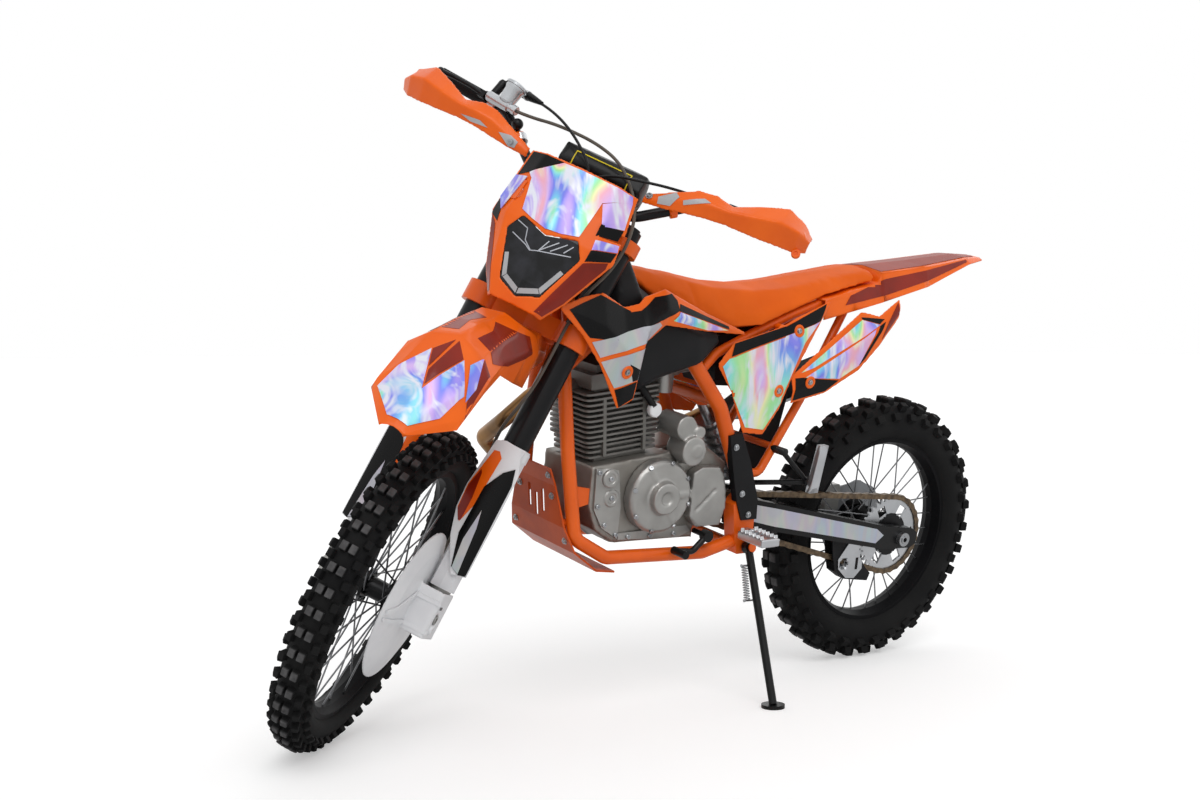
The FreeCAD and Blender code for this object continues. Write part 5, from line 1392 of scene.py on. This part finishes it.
# Nodes whose moulded or cast form is shown with softened edges
MOULDINGS = (
    Moulding("handguards", ORANGE, "steering", "orange_plastic", voxel=2.6, softening=12),
    Moulding("headlight_mask", ORANGE, "steering", "orange_plastic", softening=5),
    Moulding("shrouds", ORANGE, "frame", "orange_plastic"),
    Moulding("side_panels", ORANGE, "frame", "orange_plastic"),
    Moulding("tail_panels", ORANGE, "frame", "orange_plastic"),
    Moulding("fuel_tank", BLACK_PLASTIC, "frame", "black_plastic", voxel=5.0, softening=10),
    Moulding("engine_case", DARK_CASE, "frame", "alloy", voxel=4.5),
    Moulding("engine_covers", CAST_ALUMINIUM, "frame", "alloy", voxel=3.0, softening=2),
    Moulding("disc_guard", WHITE_PLASTIC, "steering", "guard_white", softening=8),
    Moulding("front_fender", ORANGE, "steering", "orange_plastic", voxel=0.0),
    Moulding("rear_fender", ORANGE, "frame", "orange_plastic", voxel=0.0),
    Moulding("footpegs", BRUSHED_ALUMINIUM, "frame", "alloy", voxel=1.8, softening=3),
)

# Where each control cable leaves its housing, and its next point
THROTTLE_EXIT = (14.2, -231.2, 1401)
THROTTLE_NEXT = (42, -185, 1391)
CLUTCH_EXIT = (31.1, 265, 1357.2)
CLUTCH_NEXT = (62, 210, 1346)

# Routes from the lever, grip or cylinder to the caliper or the upper clamp, each with its radius in
# millimetres and its length in metres
CORDS = (
    Cord("brake_hose",
         ((55.6, -222.8, 1349.5), (64, -184, 1349), (69, -140, 1355), (74, -92, 1356), (86, -32, 1351),
          (97, 26, 1335), (99, 62, 1309), (100, 94, 1276), (102, 116, 1238), (99, 126, 1182), (98, 119, 1118),
          (97, 96, 1060), (95, 91, 985), (95, 92, 915), (95, 91, 850), (84, 78, 795), (60, 61, 742),
          (22, 58, 690), (-9, 60, 622), (-19, 59, 545), (-18, 57, 486), (-18, 56, 446.5)),
         3.5, 1.21, HOSE_COVER, slot="hose"),
    Cord("throttle_cable",
         (THROTTLE_EXIT, THROTTLE_NEXT, (82, -124, 1368), (100, -71, 1339), (104, -18, 1298), (95, -2, 1250),
          (86, 0, 1212), (56.6, 0, 1188)),
         3.0, 0.385, CABLE_SHEATH),
    Cord("clutch_cable",
         (CLUTCH_EXIT, CLUTCH_NEXT, (98, 150, 1329), (116, 92, 1311), (119, 32, 1296), (112, -16, 1262),
          (94, -22, 1218), (60.8, -22, 1189)),
         3.0, 0.407, CABLE_SHEATH),
)

# Front 21 inch and rear 18 inch off-road tyres: half of each carcass, and one row of its lugs
TYRES = (
    KnobbyTyre("front_tyre", Wheel.FRONT,
               ((0.0, 335.0), (12.5, 333.0), (25.0, 324.5), (34.0, 307.0), (38.0, 293.0), (33.0, 278.0),
                (22.0, 270.4)),
               (Lug(8.6, 5.0, 14.5, 19.0, 13.0), Lug(24.0, 22.0, 14.0, 18.0, 12.5, late=True),
                Lug(33.5, 58.0, 14.0, 18.0, 10.5)),
               50, FRONT_RUBBER),
    KnobbyTyre("rear_tyre", Wheel.REAR,
               ((0.0, 323.0), (16.0, 320.0), (31.0, 310.0), (42.0, 288.0), (47.0, 265.0), (42.0, 246.0),
                (30.0, 235.4)),
               (Lug(11.5, 5.0, 20.0, 24.0, 15.0), Lug(30.0, 26.0, 18.0, 24.0, 15.0, late=True),
                Lug(41.0, 60.0, 20.0, 24.0, 12.0)),
               33, REAR_RUBBER),
)

# Each fork guard has a plate wider than the channel that it is moulded to. Drawn for the left one
GUARD_SIDES = (("left", 1), ("right", -1))
GUARD_OUTLINE = ((69, 720), (90, 727), (124, 724), (143, 672), (144, 594), (143, 450), (114, 444), (76, 512),
                 (58, 567), (55, 617))
PLATES = tuple(Plate(word + "_guard_plate", tuple((side * a, b) for a, b in GUARD_OUTLINE), WHITE_PLASTIC,
                     start=86.0, middle=side * 102.0, fall=16.0) for word, side in GUARD_SIDES)

# Films on the front fender are cut in a plane tipped back by the pitch and start well ahead of it
FENDER_PITCH = 52.0
FENDER_START = 1000.0
# Films on the lens lie closer to it than the others
LENS_LIFT = 0.4


def mask_film(name: str, outline: Outline, finish: Finish, **more: Any) -> Sticker:
    """Sticker on the headlight mask."""
    return Sticker("mask_" + name, "headlight_mask", outline, finish, "steering", facing=FRONT, **more)


def fender_film(name: str, outline: Outline, finish: Finish, **more: Any) -> Sticker:
    """Sticker on top of the front fender."""
    return Sticker("fender_" + name, "front_fender", outline, finish, "steering", facing=FRONT,
                   pitch=FENDER_PITCH, start=FENDER_START, **more)


def panel_film(panel: str, name: str, outline: Outline, finish: Finish, **more: Any) -> Sticker:
    """Sticker on both sides of the frame's panels."""
    return Sticker(panel + "_" + name, panel, outline, finish, both=True, **more)


def ring(ahead: float, up: float, radius: float, first: int, step: int) -> Outline:
    """Points of a circle on a side of the bike, in millimetres, from a first angle in steps of degrees."""
    return tuple((ahead + radius * math.cos(math.radians(angle)), up + radius * math.sin(math.radians(angle)))
                 for angle in range(first, first + 360, step))


def oblong(left: float, low: float, right: float, high: float) -> Outline:
    """Corners of an upright rectangle."""
    return (left, low), (right, low), (right, high), (left, high)


# Colour fields of the headlight mask, in the steering frame as seen from ahead
MASK_FILMS = (
    mask_film("black_corner", [(-113, 1258), (-40, 1257), (-97, 1213), (-121, 1203)], BLACK_FILM),
    mask_film("foil_band", [(-96, 1213), (-39, 1256), (109, 1258), (114, 1246), (66, 1216), (-86, 1203)],
              FOIL, lift=1.4),
    mask_film("foil_middle", [(-86, 1207), (66, 1220), (58, 1134), (25, 1123), (-6, 1118), (-41, 1127),
                              (-69, 1137)],
              FOIL, lift=1.2),
    mask_film("foil_left_cheek", [(67, 1215), (114, 1247), (123, 1192), (86, 1174)], FOIL, lift=1.0),
    # Orange plate under the right cheek's foil: the cheek has an opening there
    mask_film("cheek_backing", [(-124, 1193), (-88, 1193), (-92, 1150), (-122, 1150)], ORANGE, flat=True,
              thickness=1.6, lift=1.0),
    mask_film("foil_right_cheek", [(-123, 1201), (-94, 1202), (-112, 1122), (-130, 1148)], FOIL, flat=True,
              thickness=1.6, lift=3.4),
    mask_film("black_right_slot", [(-131, 1145), (-113, 1121), (-109, 1098), (-131, 1112)], BLACK_FILM),
    # Dark red tinted film in a recess of the mask, darkened with painted shade
    mask_film("red_right_recess", [(-129, 1110), (-111, 1092), (-54, 966), (-60, 964), (-85, 1006)],
              DARK_RED_AND_SHADE),
    mask_film("black_left_slot", [(84, 1152), (122, 1166), (123, 1190), (84, 1177)], BLACK_FILM, flat=True,
              lift=0.6),
    mask_film("foil_left_strip", [(88, 1144), (128, 1160), (131, 1146), (91, 1123)], FOIL),
    mask_film("black_left_strip", [(90, 1121), (131, 1144), (129, 1122), (89, 1096)], BLACK_FILM),
    # Dark red tinted film in a recess of the mask, darkened with painted shade
    mask_film("red_left_recess", [(88, 1092), (126, 1118), (126, 1106), (86, 1008), (60, 966), (46, 965)],
              DARK_RED_AND_SHADE),
)

# Colour fields on top of the front fender, in a plane that is tipped back with it
FENDER_FILMS = (
    fender_film("foil_right", [(-74, 44), (-62, 84), (-31, 140), (2, 54), (20, -14), (-22, -12)], FENDER_FOIL,
                lift=1.2),
    fender_film("foil_left", [(2, 54), (31, 148), (68, 92), (56, 34), (20, -14)], FENDER_FOIL, lift=1.2),
    fender_film("foil_left_side", [(45, 147), (57, 176), (76, 123), (75, 88)], FENDER_FOIL, lift=1.2),
    # Dark red fields: tinted film, darkened with painted shade
    fender_film("red_right", [(-29, 141), (-4, 175), (-13, 99)], DARK_RED_AND_SHADE),
    fender_film("red_left", [(-9, 92), (3, 176), (29, 149), (1, 64)], DARK_RED_AND_SHADE),
    fender_film("red_left_side", [(58, 178), (80, 168), (87, 74), (77, 90)], DARK_RED_AND_SHADE),
    # Dark red tinted film on the fender's neck, darkened with painted shade
    Sticker("fender_neck_red", "front_fender",
            ((180, 892), (182, 922), (290, 905), (384, 852), (388, 822), (308, 838)), DARK_RED_AND_SHADE, "steering",
            both=True),
)

# Colour fields of the shrouds, in the bike's frame as seen from its side
SHROUD_FILMS = (
    panel_film("shrouds", "black_front", [(1092, 915), (1008, 943), (925, 909), (935, 850), (1034, 858)],
               BLACK_FILM),
    panel_film("shrouds", "black_middle", [(926, 907), (898, 910), (890, 880), (936, 862)], BLACK_FILM),
    panel_film("shrouds", "black_rise", [(898, 910), (860, 937), (850, 892), (891, 879)], BLACK_FILM),
    panel_film("shrouds", "black_top", [(860, 937), (812, 944), (797, 930), (795, 910), (850, 891)],
               BLACK_FILM),
    panel_film("shrouds", "foil_band", [(1028, 849), (857, 888), (845, 880), (880, 850), (1004, 817)],
               SILVER_FOIL, lift=1.2),
    panel_film("shrouds", "silver_and_glint", [(1000, 808), (893, 836), (900, 768), (958, 752)], SILVER_FOIL),
    panel_film("shrouds", "black_foot", [(956, 748), (902, 764), (904, 728), (938, 710)], BLACK_FILM),
    panel_film("shrouds", "black_flash", [(930, 803), (899, 790), (901, 768), (914, 765)], BLACK_FILM,
               lift=1.2),
    panel_film("shrouds", "black_tail", [(790, 923), (642, 873), (642, 867), (796, 909)], BLACK_FILM),
    panel_film("shrouds", "foil_tail", [(794, 907), (644, 865), (704, 866), (812, 889)], FOIL),
)

# Colour fields of the side panels, the tail and the swingarm
PANEL_FILMS = (
    panel_film("side_panels", "black_front", [(612, 834), (470, 872), (470, 851), (622, 806)], BLACK_FILM),
    panel_film("side_panels", "black_rear", [(471, 871), (350, 922), (366, 884), (471, 851)], BLACK_FILM),
    panel_film("side_panels", "foil_front", [(646, 784), (628, 801), (468, 849), (470, 700), (514, 640),
                                             (570, 648), (614, 728)], PANEL_FOIL),
    panel_film("side_panels", "foil_rear", [(471, 850), (368, 882), (412, 836), (471, 775)], PANEL_FOIL),
    panel_film("side_panels", "foil_notch", [(471, 777), (412, 837), (443, 768), (472, 706)], PANEL_FOIL),
    panel_film("tail_panels", "foil_top", [(414, 766), (241, 887), (186, 876), (379, 778)], FOIL),
    panel_film("tail_panels", "foil_low", [(404, 756), (200, 866), (244, 782), (300, 752)], FOIL),
    panel_film("tail_panels", "black_low", [(430, 754), (410, 756), (302, 748), (340, 724), (436, 704)],
               BLACK_FILM),
    panel_film("tail_panels", "black_edge", [(186, 874), (168, 884), (226, 798), (246, 780)], BLACK_FILM),
    panel_film("tail_panels", "black_top", [(243, 893), (170, 889), (186, 878), (240, 888)], BLACK_FILM),
    # Dark red fields of the tail and rear fender: tinted film, darkened with painted shade
    panel_film("tail_panels", "red_tip", [(160, 884), (126, 928), (124, 900), (178, 842)], DARK_RED_AND_SHADE),
    panel_film("rear_fender", "red_side",
               [(280, 918), (262, 940), (140, 978), (0, 1000), (0, 976), (150, 940)], DARK_RED_AND_SHADE),
    panel_film("rear_fender", "red_end", [(0, 1000), (-160, 1027), (-160, 1022), (0, 976)], DARK_RED_AND_SHADE),
    Sticker("rear_fender_smoky_top", "rear_fender", ((-66, -140), (66, -140), (60, 0), (44, 160), (24, 225),
                                                     (-24, 225), (-44, 160), (-60, 0)),
            SMOKY_RED, facing=FRONT, pitch=90.0, start=1200.0),
    panel_film("swingarm", "silver_and_glint", [(498, 458), (430, 447), (90, 370), (64, 352), (90, 334), (430, 404),
                                     (520, 424), (520, 440)], SILVER_FOIL, slot="black_metal"),
)

# Films of a fork guard, drawn for the left one: name, outline, finish and lift
GUARD_SHAPES = (
    ("orange", ((76, 700), (88, 702), (118, 668), (92, 584), (89, 530), (61, 568), (58, 618)), ORANGE, 0.8),
    # The red field is dark red tinted film, darkened with painted shade
    ("red", ((70, 655), (81, 640), (81, 598), (87, 550), (76, 544), (63, 565), (60, 616)), DARK_RED_AND_SHADE, 1.3),
    ("black", ((93, 626), (114, 667), (132, 684), (140, 651), (141, 452), (128, 448), (108, 458), (90, 524)),
     BLACK_FILM, 1.8),
    ("pale", ((113, 606), (118, 546), (136, 456), (128, 449), (110, 457), (104, 516)), SILVER_FOIL, 2.3),
)
GUARD_FILMS = tuple(Sticker(f"{word}_guard_{name}", word + "_guard_plate",
                            tuple((side * a, b) for a, b in outline), finish, "steering", "guard_white",
                            FRONT, lift=lift)
                    for word, side in GUARD_SIDES for name, outline, finish, lift in GUARD_SHAPES)

# Light strips of the lamp, and the middle lines of the painted highlights on the reflector's edges
LENS_STRIPS = (
    ((1, 981), (40, 1000), (34, 1008), (1, 992)),
    ((42, 1000), (64, 1056), (56, 1059), (35, 1008)),
    ((-1, 981), (-40, 1000), (-34, 1008), (-1, 992)),
    ((-42, 1000), (-60, 1046), (-52, 1049), (-35, 1008)),
)
REFLECTOR_HIGHLIGHT_LINES = (
    ((-66, 1114), (-40, 1106)), ((-40, 1106), (-33, 1083)), ((-33, 1083), (-13, 1068)),
    ((-13, 1068), (62, 1092)), ((-65, 1088), (-28, 1075)), ((-28, 1075), (-14, 1067)),
    ((2, 1074), (12, 1100)), ((2, 1074), (30, 1106)),
    ((22, 1083), (46, 1110)), ((46, 1092), (58, 1112)),
)


def lamp_film(name: str, outline: Outline, finish: Finish, **more: Any) -> Sticker:
    """Sticker on the lamp's lens."""
    return Sticker(name, "headlight", outline, finish, "steering", "lens", FRONT, lift=LENS_LIFT, **more)


def lens_line(index: int, first: tuple[float, float], last: tuple[float, float],
              half: float = 1.0) -> Sticker:
    """Thin painted highlight along a silvered edge of the reflector behind the lens.

    Args:
        index: the line's number.
        first: one end of its middle line.
        last: the other end.
        half: half of its width.

    Returns:
        The line's sticker.
    """
    start, end = Vector(first), Vector(last)
    along = (end - start).normalized() * half
    aside = Vector((-along.y, along.x))
    outline = tuple(tuple(point) for point in (start + aside, start - aside, end - aside, end + aside))
    # Pale line of painted highlight, laid on the lens
    return lamp_film(f"reflector_line_{index}", outline, REFLECTOR_HIGHLIGHT, cell=3.0)


LENS_FILMS = tuple(lamp_film(f"lamp_strip_{k}", strip, GREY_INSET) for k, strip in enumerate(LENS_STRIPS))
LENS_FILMS += tuple(lens_line(k, *ends) for k, ends in enumerate(REFLECTOR_HIGHLIGHT_LINES))

# Grey insets of the hand guards
HAND_SHAPES = (
    ("left_hand_inset_inner", ((136, 1302), (165, 1325), (176, 1318), (166, 1294), (140, 1288))),
    ("left_hand_inset_outer", ((186, 1314), (224, 1336), (240, 1332), (190, 1306))),
    ("right_hand_inset_inner", ((-221, 1282), (-195, 1287), (-176, 1281), (-178, 1267), (-192, 1265))),
    ("right_hand_inset_outer", ((-312, 1284), (-267, 1287), (-246, 1280), (-286, 1278))),
)
HAND_FILMS = tuple(Sticker(name, "handguards", outline, GREY_INSET, "steering", facing=FRONT)
                   for name, outline in HAND_SHAPES)

# Yellow outline of the bar pad, and the covers, ribs and plates that lie on cast or pressed parts
PAD_LINES = (
    oblong(-64, 1286, 64, 1288.4), oblong(-64, 1322, 64, 1324.4), oblong(-64, 1286, -61.6, 1324),
    oblong(61.6, 1286, 64, 1324),
)
TRIM = tuple(Sticker(f"pad_line_{k}", "bar_cushion", line, YELLOW_PRINT, "steering", slot="grip_rubber",
                     facing=FRONT, cell=3.0) for k, line in enumerate(PAD_LINES))
TRIM += (
    Sticker("case_front_cover", "engine_case",
            ((938, 566), (936, 478), (912, 436), (868, 408), (866, 480), (880, 560)),
            CAST_ALUMINIUM, slot="alloy", thickness=5.0),
    Sticker("case_foot_cover", "engine_case", ((866, 406), (700, 398), (668, 410), (680, 424), (866, 420)),
            CAST_ALUMINIUM, slot="alloy", thickness=5.0),
    Sticker("sprocket_carrier", "rear_sprocket", ring(0.0, REAR_TYRE_RADIUS, 54.0, 0, 15), BLACK_ANODISED,
            "rear_wheel", "black_metal", cell=4.0),
    Sticker("guide_plate", "chain_guide",
            ((176, 268), (180, 292), (150, 330), (112, 326), (98, 290), (96, 262), (120, 240), (148, 243)),
            BRUSHED_ALUMINIUM, slot="steel", thickness=2.0),
    Sticker("guide_slot_rear", "chain_guide", oblong(112, 262, 120, 292), BLACK_FILM,
            slot="black_plastic", lift=3.0, cell=3.0),
    Sticker("disc_guard_rib_low", "disc_guard", ((106, 318), (222, 313), (222, 319), (106, 326)),
            WHITE_PLASTIC, "steering", slot="guard_white", thickness=4.0, cell=3.0),
    Sticker("disc_guard_rib_high", "disc_guard", ((106, 380), (224, 327), (225, 334), (110, 388)),
            WHITE_PLASTIC, "steering", slot="guard_white", thickness=4.0, cell=3.0),
    Sticker("disc_guard_slot_high", "disc_guard", oblong(76, 372, 92, 378), BLACK_FILM,
            "steering", slot="guard_white", cell=3.0),
)

STICKERS = (MASK_FILMS + FENDER_FILMS + SHROUD_FILMS + PANEL_FILMS + GUARD_FILMS + LENS_FILMS + HAND_FILMS
            + TRIM)

# Profiles of bolts with a hexagon recess, cast bosses and moulded grommets, as (radius, height)
BOLT_PROFILE = ((7.5, 0.0), (7.5, 1.4), (5.4, 1.5), (5.4, 4.4), (4.8, 5.0), (2.6, 5.0), (2.4, 3.4))
SMALL_BOLT_PROFILE = ((5.6, 0.0), (5.6, 3.4), (4.8, 4.2), (2.4, 4.2), (2.3, 2.6))
BOSS_PROFILE = ((20.0, -3.0), (20.0, 6.0), (17.5, 8.5), (12.0, 8.5), (10.5, 7.0))
GROMMET_PROFILE = ((14.0, 0.0), (14.5, 1.6), (13.0, 3.4), (9.0, 3.6), (6.5, 1.2))
GUARD_BOSS_PROFILE = ((11.0, -1.0), (11.0, 4.0), (9.0, 5.5), (5.0, 5.5), (4.5, 3.0))


def panel_fasteners(word: str, panel: str, spots: Outline) -> tuple[Fastener, Fastener]:
    """Bolts of a panel on both sides of the bike, each in its grommet."""
    return (Fastener(word + "_grommets", panel, spots, GROMMET_PROFILE, ORANGE, slot="orange_plastic",
                     both=True),
            Fastener(word + "_bolts", panel, spots, BOLT_PROFILE, STEEL, both=True))


# Bosses in front of the engine case; two of the cover's bolts sit in them
CASE_BOSSES = ((905, 545), (893, 500))
FASTENERS = (
    *panel_fasteners("shroud", "shrouds", ((934, 786),)),
    *panel_fasteners("panel", "side_panels", ((433, 862), (482, 728))),
    *panel_fasteners("tail", "tail_panels", ((392, 746),)),
    Fastener("cover_bolts", "engine_covers", ring(775.0, 500.0, 76.0, 15, 45), SMALL_BOLT_PROFILE, STEEL),
    Fastener("case_bosses", "engine_case", CASE_BOSSES, BOSS_PROFILE, CAST_ALUMINIUM, slot="alloy", sides=32),
    Fastener("case_bolts", "case_front_cover", ((930, 558), (928, 484), (906, 442), (874, 418)) + CASE_BOSSES,
             SMALL_BOLT_PROFILE, STEEL),
    Fastener("foot_bolts", "case_foot_cover", ((840, 411), (780, 408), (715, 408)), SMALL_BOLT_PROFILE,
             STEEL),
    Fastener("frame_guard_bolts", "frame_guards", ((533, 446), (558, 496), (590, 604)), BOLT_PROFILE, STEEL,
             both=True),
    Fastener("skid_bolts", "skid_plate",
             ((-58, 550), (58, 550), (-62, 505), (62, 505), (-96, 415), (96, 415)), BOLT_PROFILE, STEEL,
             facing=FRONT, start=1300.0),
    Fastener("disc_guard_boss", "disc_guard", ((82, 330),), GUARD_BOSS_PROFILE, WHITE_PLASTIC, "steering",
             "guard_white"),
    Fastener("hand_bolts", "handguards", ((118, 1296), (-190, 1274)), BOLT_PROFILE, STEEL, "steering",
             facing=FRONT),
)

# Turned trim: cable boots and rings, the ball mount by the throttle, the breather and a hand guard's eyelet
BOOTS = (
    Boot("throttle_boot", THROTTLE_EXIT, THROTTLE_NEXT,
         ((9.5, -30.0), (10.0, 0.0), (8.5, 16.0), (7.0, 30.0), (4.2, 52.0)), CABLE_SHEATH),
    Boot("throttle_ring", THROTTLE_EXIT, THROTTLE_NEXT,
         ((10.4, -3.0), (10.9, -2.0), (10.9, 2.0), (10.2, 3.0)), STEEL, slot="steel"),
    Boot("throttle_sleeve", (-1.8, -289.0, 1409.0), THROTTLE_EXIT,
         ((8.0, 0.0), (9.5, 3.0), (9.5, 50.0), (8.5, 56.0)), CABLE_SHEATH),
    Boot("throttle_elbow", (1.6, -305.3, 1366.0), (-4.1, -297.6, 1409.0),
         ((9.0, 0.0), (9.5, 3.0), (9.5, 34.0), (10.0, 42.0), (8.0, 48.0)), CABLE_SHEATH),
    Boot("mount_ball", (46, -212, 1328), (90, -190, 1328),
         ((4.0, -12.0), (9.0, -9.0), (12.0, -4.0), (12.5, 0.0), (12.0, 4.0), (9.0, 9.0), (4.0, 12.0)),
         BLACK_ANODISED),
    Boot("mount_clamp", (30, -197, 1305), (24, -218, 1328),
         ((15.0, -9.0), (16.0, -8.0), (16.0, 8.0), (15.0, 9.0)), BRUSHED_ALUMINIUM, slot="alloy"),
    Boot("breather_neck", (828, 66, 742), (799, 98, 692), ((9.0, 0.0), (9.0, 30.0), (7.5, 32.0), (7.5, 62.0)),
         CABLE_SHEATH, "frame", "black_plastic"),
    Boot("breather_cap", (797, 84, 688), (797, 120, 688),
         ((9.0, 0.0), (15.0, 1.0), (16.0, 3.0), (16.0, 13.0), (14.0, 15.5), (6.0, 16.5)), WHITE_PLASTIC,
         "frame"),
    Boot("guard_eyelet", (33, 428, 1331), (90, 428, 1331),
         ((8.5, -5.0), (9.5, -4.0), (9.5, 4.0), (8.5, 5.0), (4.5, 5.0), (4.0, 3.0)), ORANGE,
         slot="orange_plastic"),
    Boot("clutch_boot", CLUTCH_EXIT, CLUTCH_NEXT, ((5.5, -6.0), (6.0, 4.0), (4.2, 24.0)), CABLE_SHEATH),
)

# Front master cylinder: its cup, body, end ring and clamp arm
RESERVOIR_PROFILE = ((13.0, 0.0), (17.0, 3.0), (18.5, 12.0), (20.0, 31.0), (22.5, 36.0), (22.5, 40.0),
                     (25.0, 40.6), (25.0, 45.4), (23.0, 47.4), (12.0, 47.8))
BODY_PROFILE = ((9.0, 0.0), (10.5, 2.0), (10.5, 10.0), (8.5, 12.0), (8.5, 20.0), (11.5, 23.0), (11.5, 78.0),
                (9.5, 82.0))
RING_PROFILE = ((15.0, 0.0), (17.0, 2.0), (17.0, 20.0), (15.0, 22.0))
ARM_PROFILE = ((9.0, 0.0), (9.0, 26.0))
MASTER_CYLINDER = TurnedSet("front_master_cylinder", "master_cylinder", (
    Boot("master_reservoir", (47.2, -256.6, 1357.0), (47.2, -242.5, 1456.0), RESERVOIR_PROFILE,
         BRUSHED_ALUMINIUM, sides=40),
    Boot("master_body", (55.4, -223.4, 1349.5), (34.0, -301.8, 1360.7), BODY_PROFILE, BRUSHED_ALUMINIUM),
    Boot("master_ring", (14.0, -276.7, 1353.0), (8.4, -296.9, 1356.0), RING_PROFILE, BRUSHED_ALUMINIUM),
    Boot("master_arm", (12.0, -284.0, 1355.0), (37.0, -290.6, 1358.5), ARM_PROFILE, BRUSHED_ALUMINIUM),
), BRUSHED_ALUMINIUM)


@dataclass(frozen=True)
class Lamp:
    """One soft, distant lamp: the way its light travels, its strength and how wide it looks, in degrees."""

    name: str
    toward: Point
    strength: float
    width: float

    def build(self) -> None:
        """Add the lamp to the scene."""
        data = bpy.data.lights.new(self.name, "SUN")
        data.energy = self.strength
        data.angle = math.radians(self.width)
        holder = new_object(self.name, data)
        holder.rotation_euler = Vector(self.toward).to_track_quat("-Z", "Y").to_euler()


@dataclass(frozen=True)
class Studio:
    """Camera at the photograph's angle, the pale floor, the white surround and the soft lamps.

    The floor glows a little to the camera alone, so that it is white there and keeps the bike's shadow. The
    surround is dimmer as light than as what the camera, the gloss and the lens see.
    """

    camera_mm: Point = (2131.8, 2637.1, 833.8)
    forward: Point = (-0.5805, -0.8129, -0.0464)
    lens_mm: float = 46.31
    sensor_mm: float = 36.0
    sight: float = 200.0
    floor_size: float = 80.0
    floor_colour: str = "#E6E6E6"
    floor_roughness: float = 0.9
    floor_glow: float = 0.34
    white: str = "#FFFFFF"
    surround_light: float = 0.6
    surround_seen: float = 1.0
    lamps: tuple[Lamp, ...] = (Lamp("key_lamp", (-0.35, -0.75, -0.9), 1.1, 40.0),
                               Lamp("fill_lamp", (0.8, 0.3, -0.6), 0.35, 60.0))

    def camera(self) -> None:
        """Place the camera."""
        data = bpy.data.cameras.new("camera")
        data.lens = self.lens_mm
        data.sensor_width = self.sensor_mm
        data.clip_end = self.sight
        holder = new_object("camera", data)
        holder.location = Vector(self.camera_mm) * MM
        holder.rotation_euler = Vector(self.forward).to_track_quat("-Z", "Y").to_euler()
        bpy.context.scene.camera = holder

    def floor(self) -> None:
        """Lay the floor."""
        deselect()
        bpy.ops.mesh.primitive_plane_add(size=self.floor_size, location=(0.0, 0.0, 0.0))
        ground = bpy.context.object
        ground.name = "studio_floor"
        material = bpy.data.materials.new("studio_floor")
        material.use_nodes = True
        tree = material.node_tree
        tree.nodes.clear()
        path = node(tree, "ShaderNodeLightPath")
        shader = node(tree, "ShaderNodeBsdfPrincipled", {"Base Color": linear(self.floor_colour),
                                                         "Roughness": self.floor_roughness,
                                                         "Emission Color": linear(self.white)})
        glow = node(tree, "ShaderNodeMath", {0: path.outputs["Is Camera Ray"], 1: self.floor_glow},
                    operation="MULTIPLY")
        tree.links.new(glow.outputs[0], shader.inputs["Emission Strength"])
        node(tree, "ShaderNodeOutputMaterial", {"Surface": shader.outputs["BSDF"]})
        ground.data.materials.append(material)

    def world(self) -> None:
        """Set the white surround."""
        world = bpy.data.worlds.new("studio_world")
        bpy.context.scene.world = world
        world.use_nodes = True
        tree = world.node_tree
        tree.nodes.clear()
        path = node(tree, "ShaderNodeLightPath")
        seen = node(tree, "ShaderNodeMath", {0: path.outputs["Is Camera Ray"],
                                             1: path.outputs["Is Glossy Ray"]},
                    operation="MAXIMUM")
        seen = node(tree, "ShaderNodeMath", {0: seen.outputs[0], 1: path.outputs["Is Transmission Ray"]},
                    operation="MAXIMUM")
        strength = node(tree, "ShaderNodeMapRange", {"Value": seen.outputs[0], "To Min": self.surround_light,
                                                     "To Max": self.surround_seen})
        back = node(tree, "ShaderNodeBackground", {"Color": linear(self.white),
                                                   "Strength": strength.outputs["Result"]})
        node(tree, "ShaderNodeOutputWorld", {"Surface": back.outputs["Background"]})

    def build(self) -> None:
        """Set up the camera, the floor, the world and the lamps."""
        self.camera()
        self.floor()
        self.world()
        for lamp in self.lamps:
            lamp.build()
        bpy.context.scene.view_settings.view_transform = "Standard"
        LOG.info("studio built")


def main() -> None:
    """Build everything in order."""
    logging.basicConfig(level=logging.INFO, format="%(name)s: %(message)s")
    Studio().build()
    for cord in CORDS:
        cord.build()
    dress_nodes()
    Seat().build()
    BarPad().build()
    # A sticker or fastener is pressed on to a finished piece, so the order of these groups matters
    for group in (TYRES, MOULDINGS, PLATES, STICKERS, FASTENERS, BOOTS):
        for piece in group:
            piece.build()
    MASTER_CYLINDER.build()
    FoldedPeg().build()
    StandSpring().build()


if __name__ == "__main__":
    main()
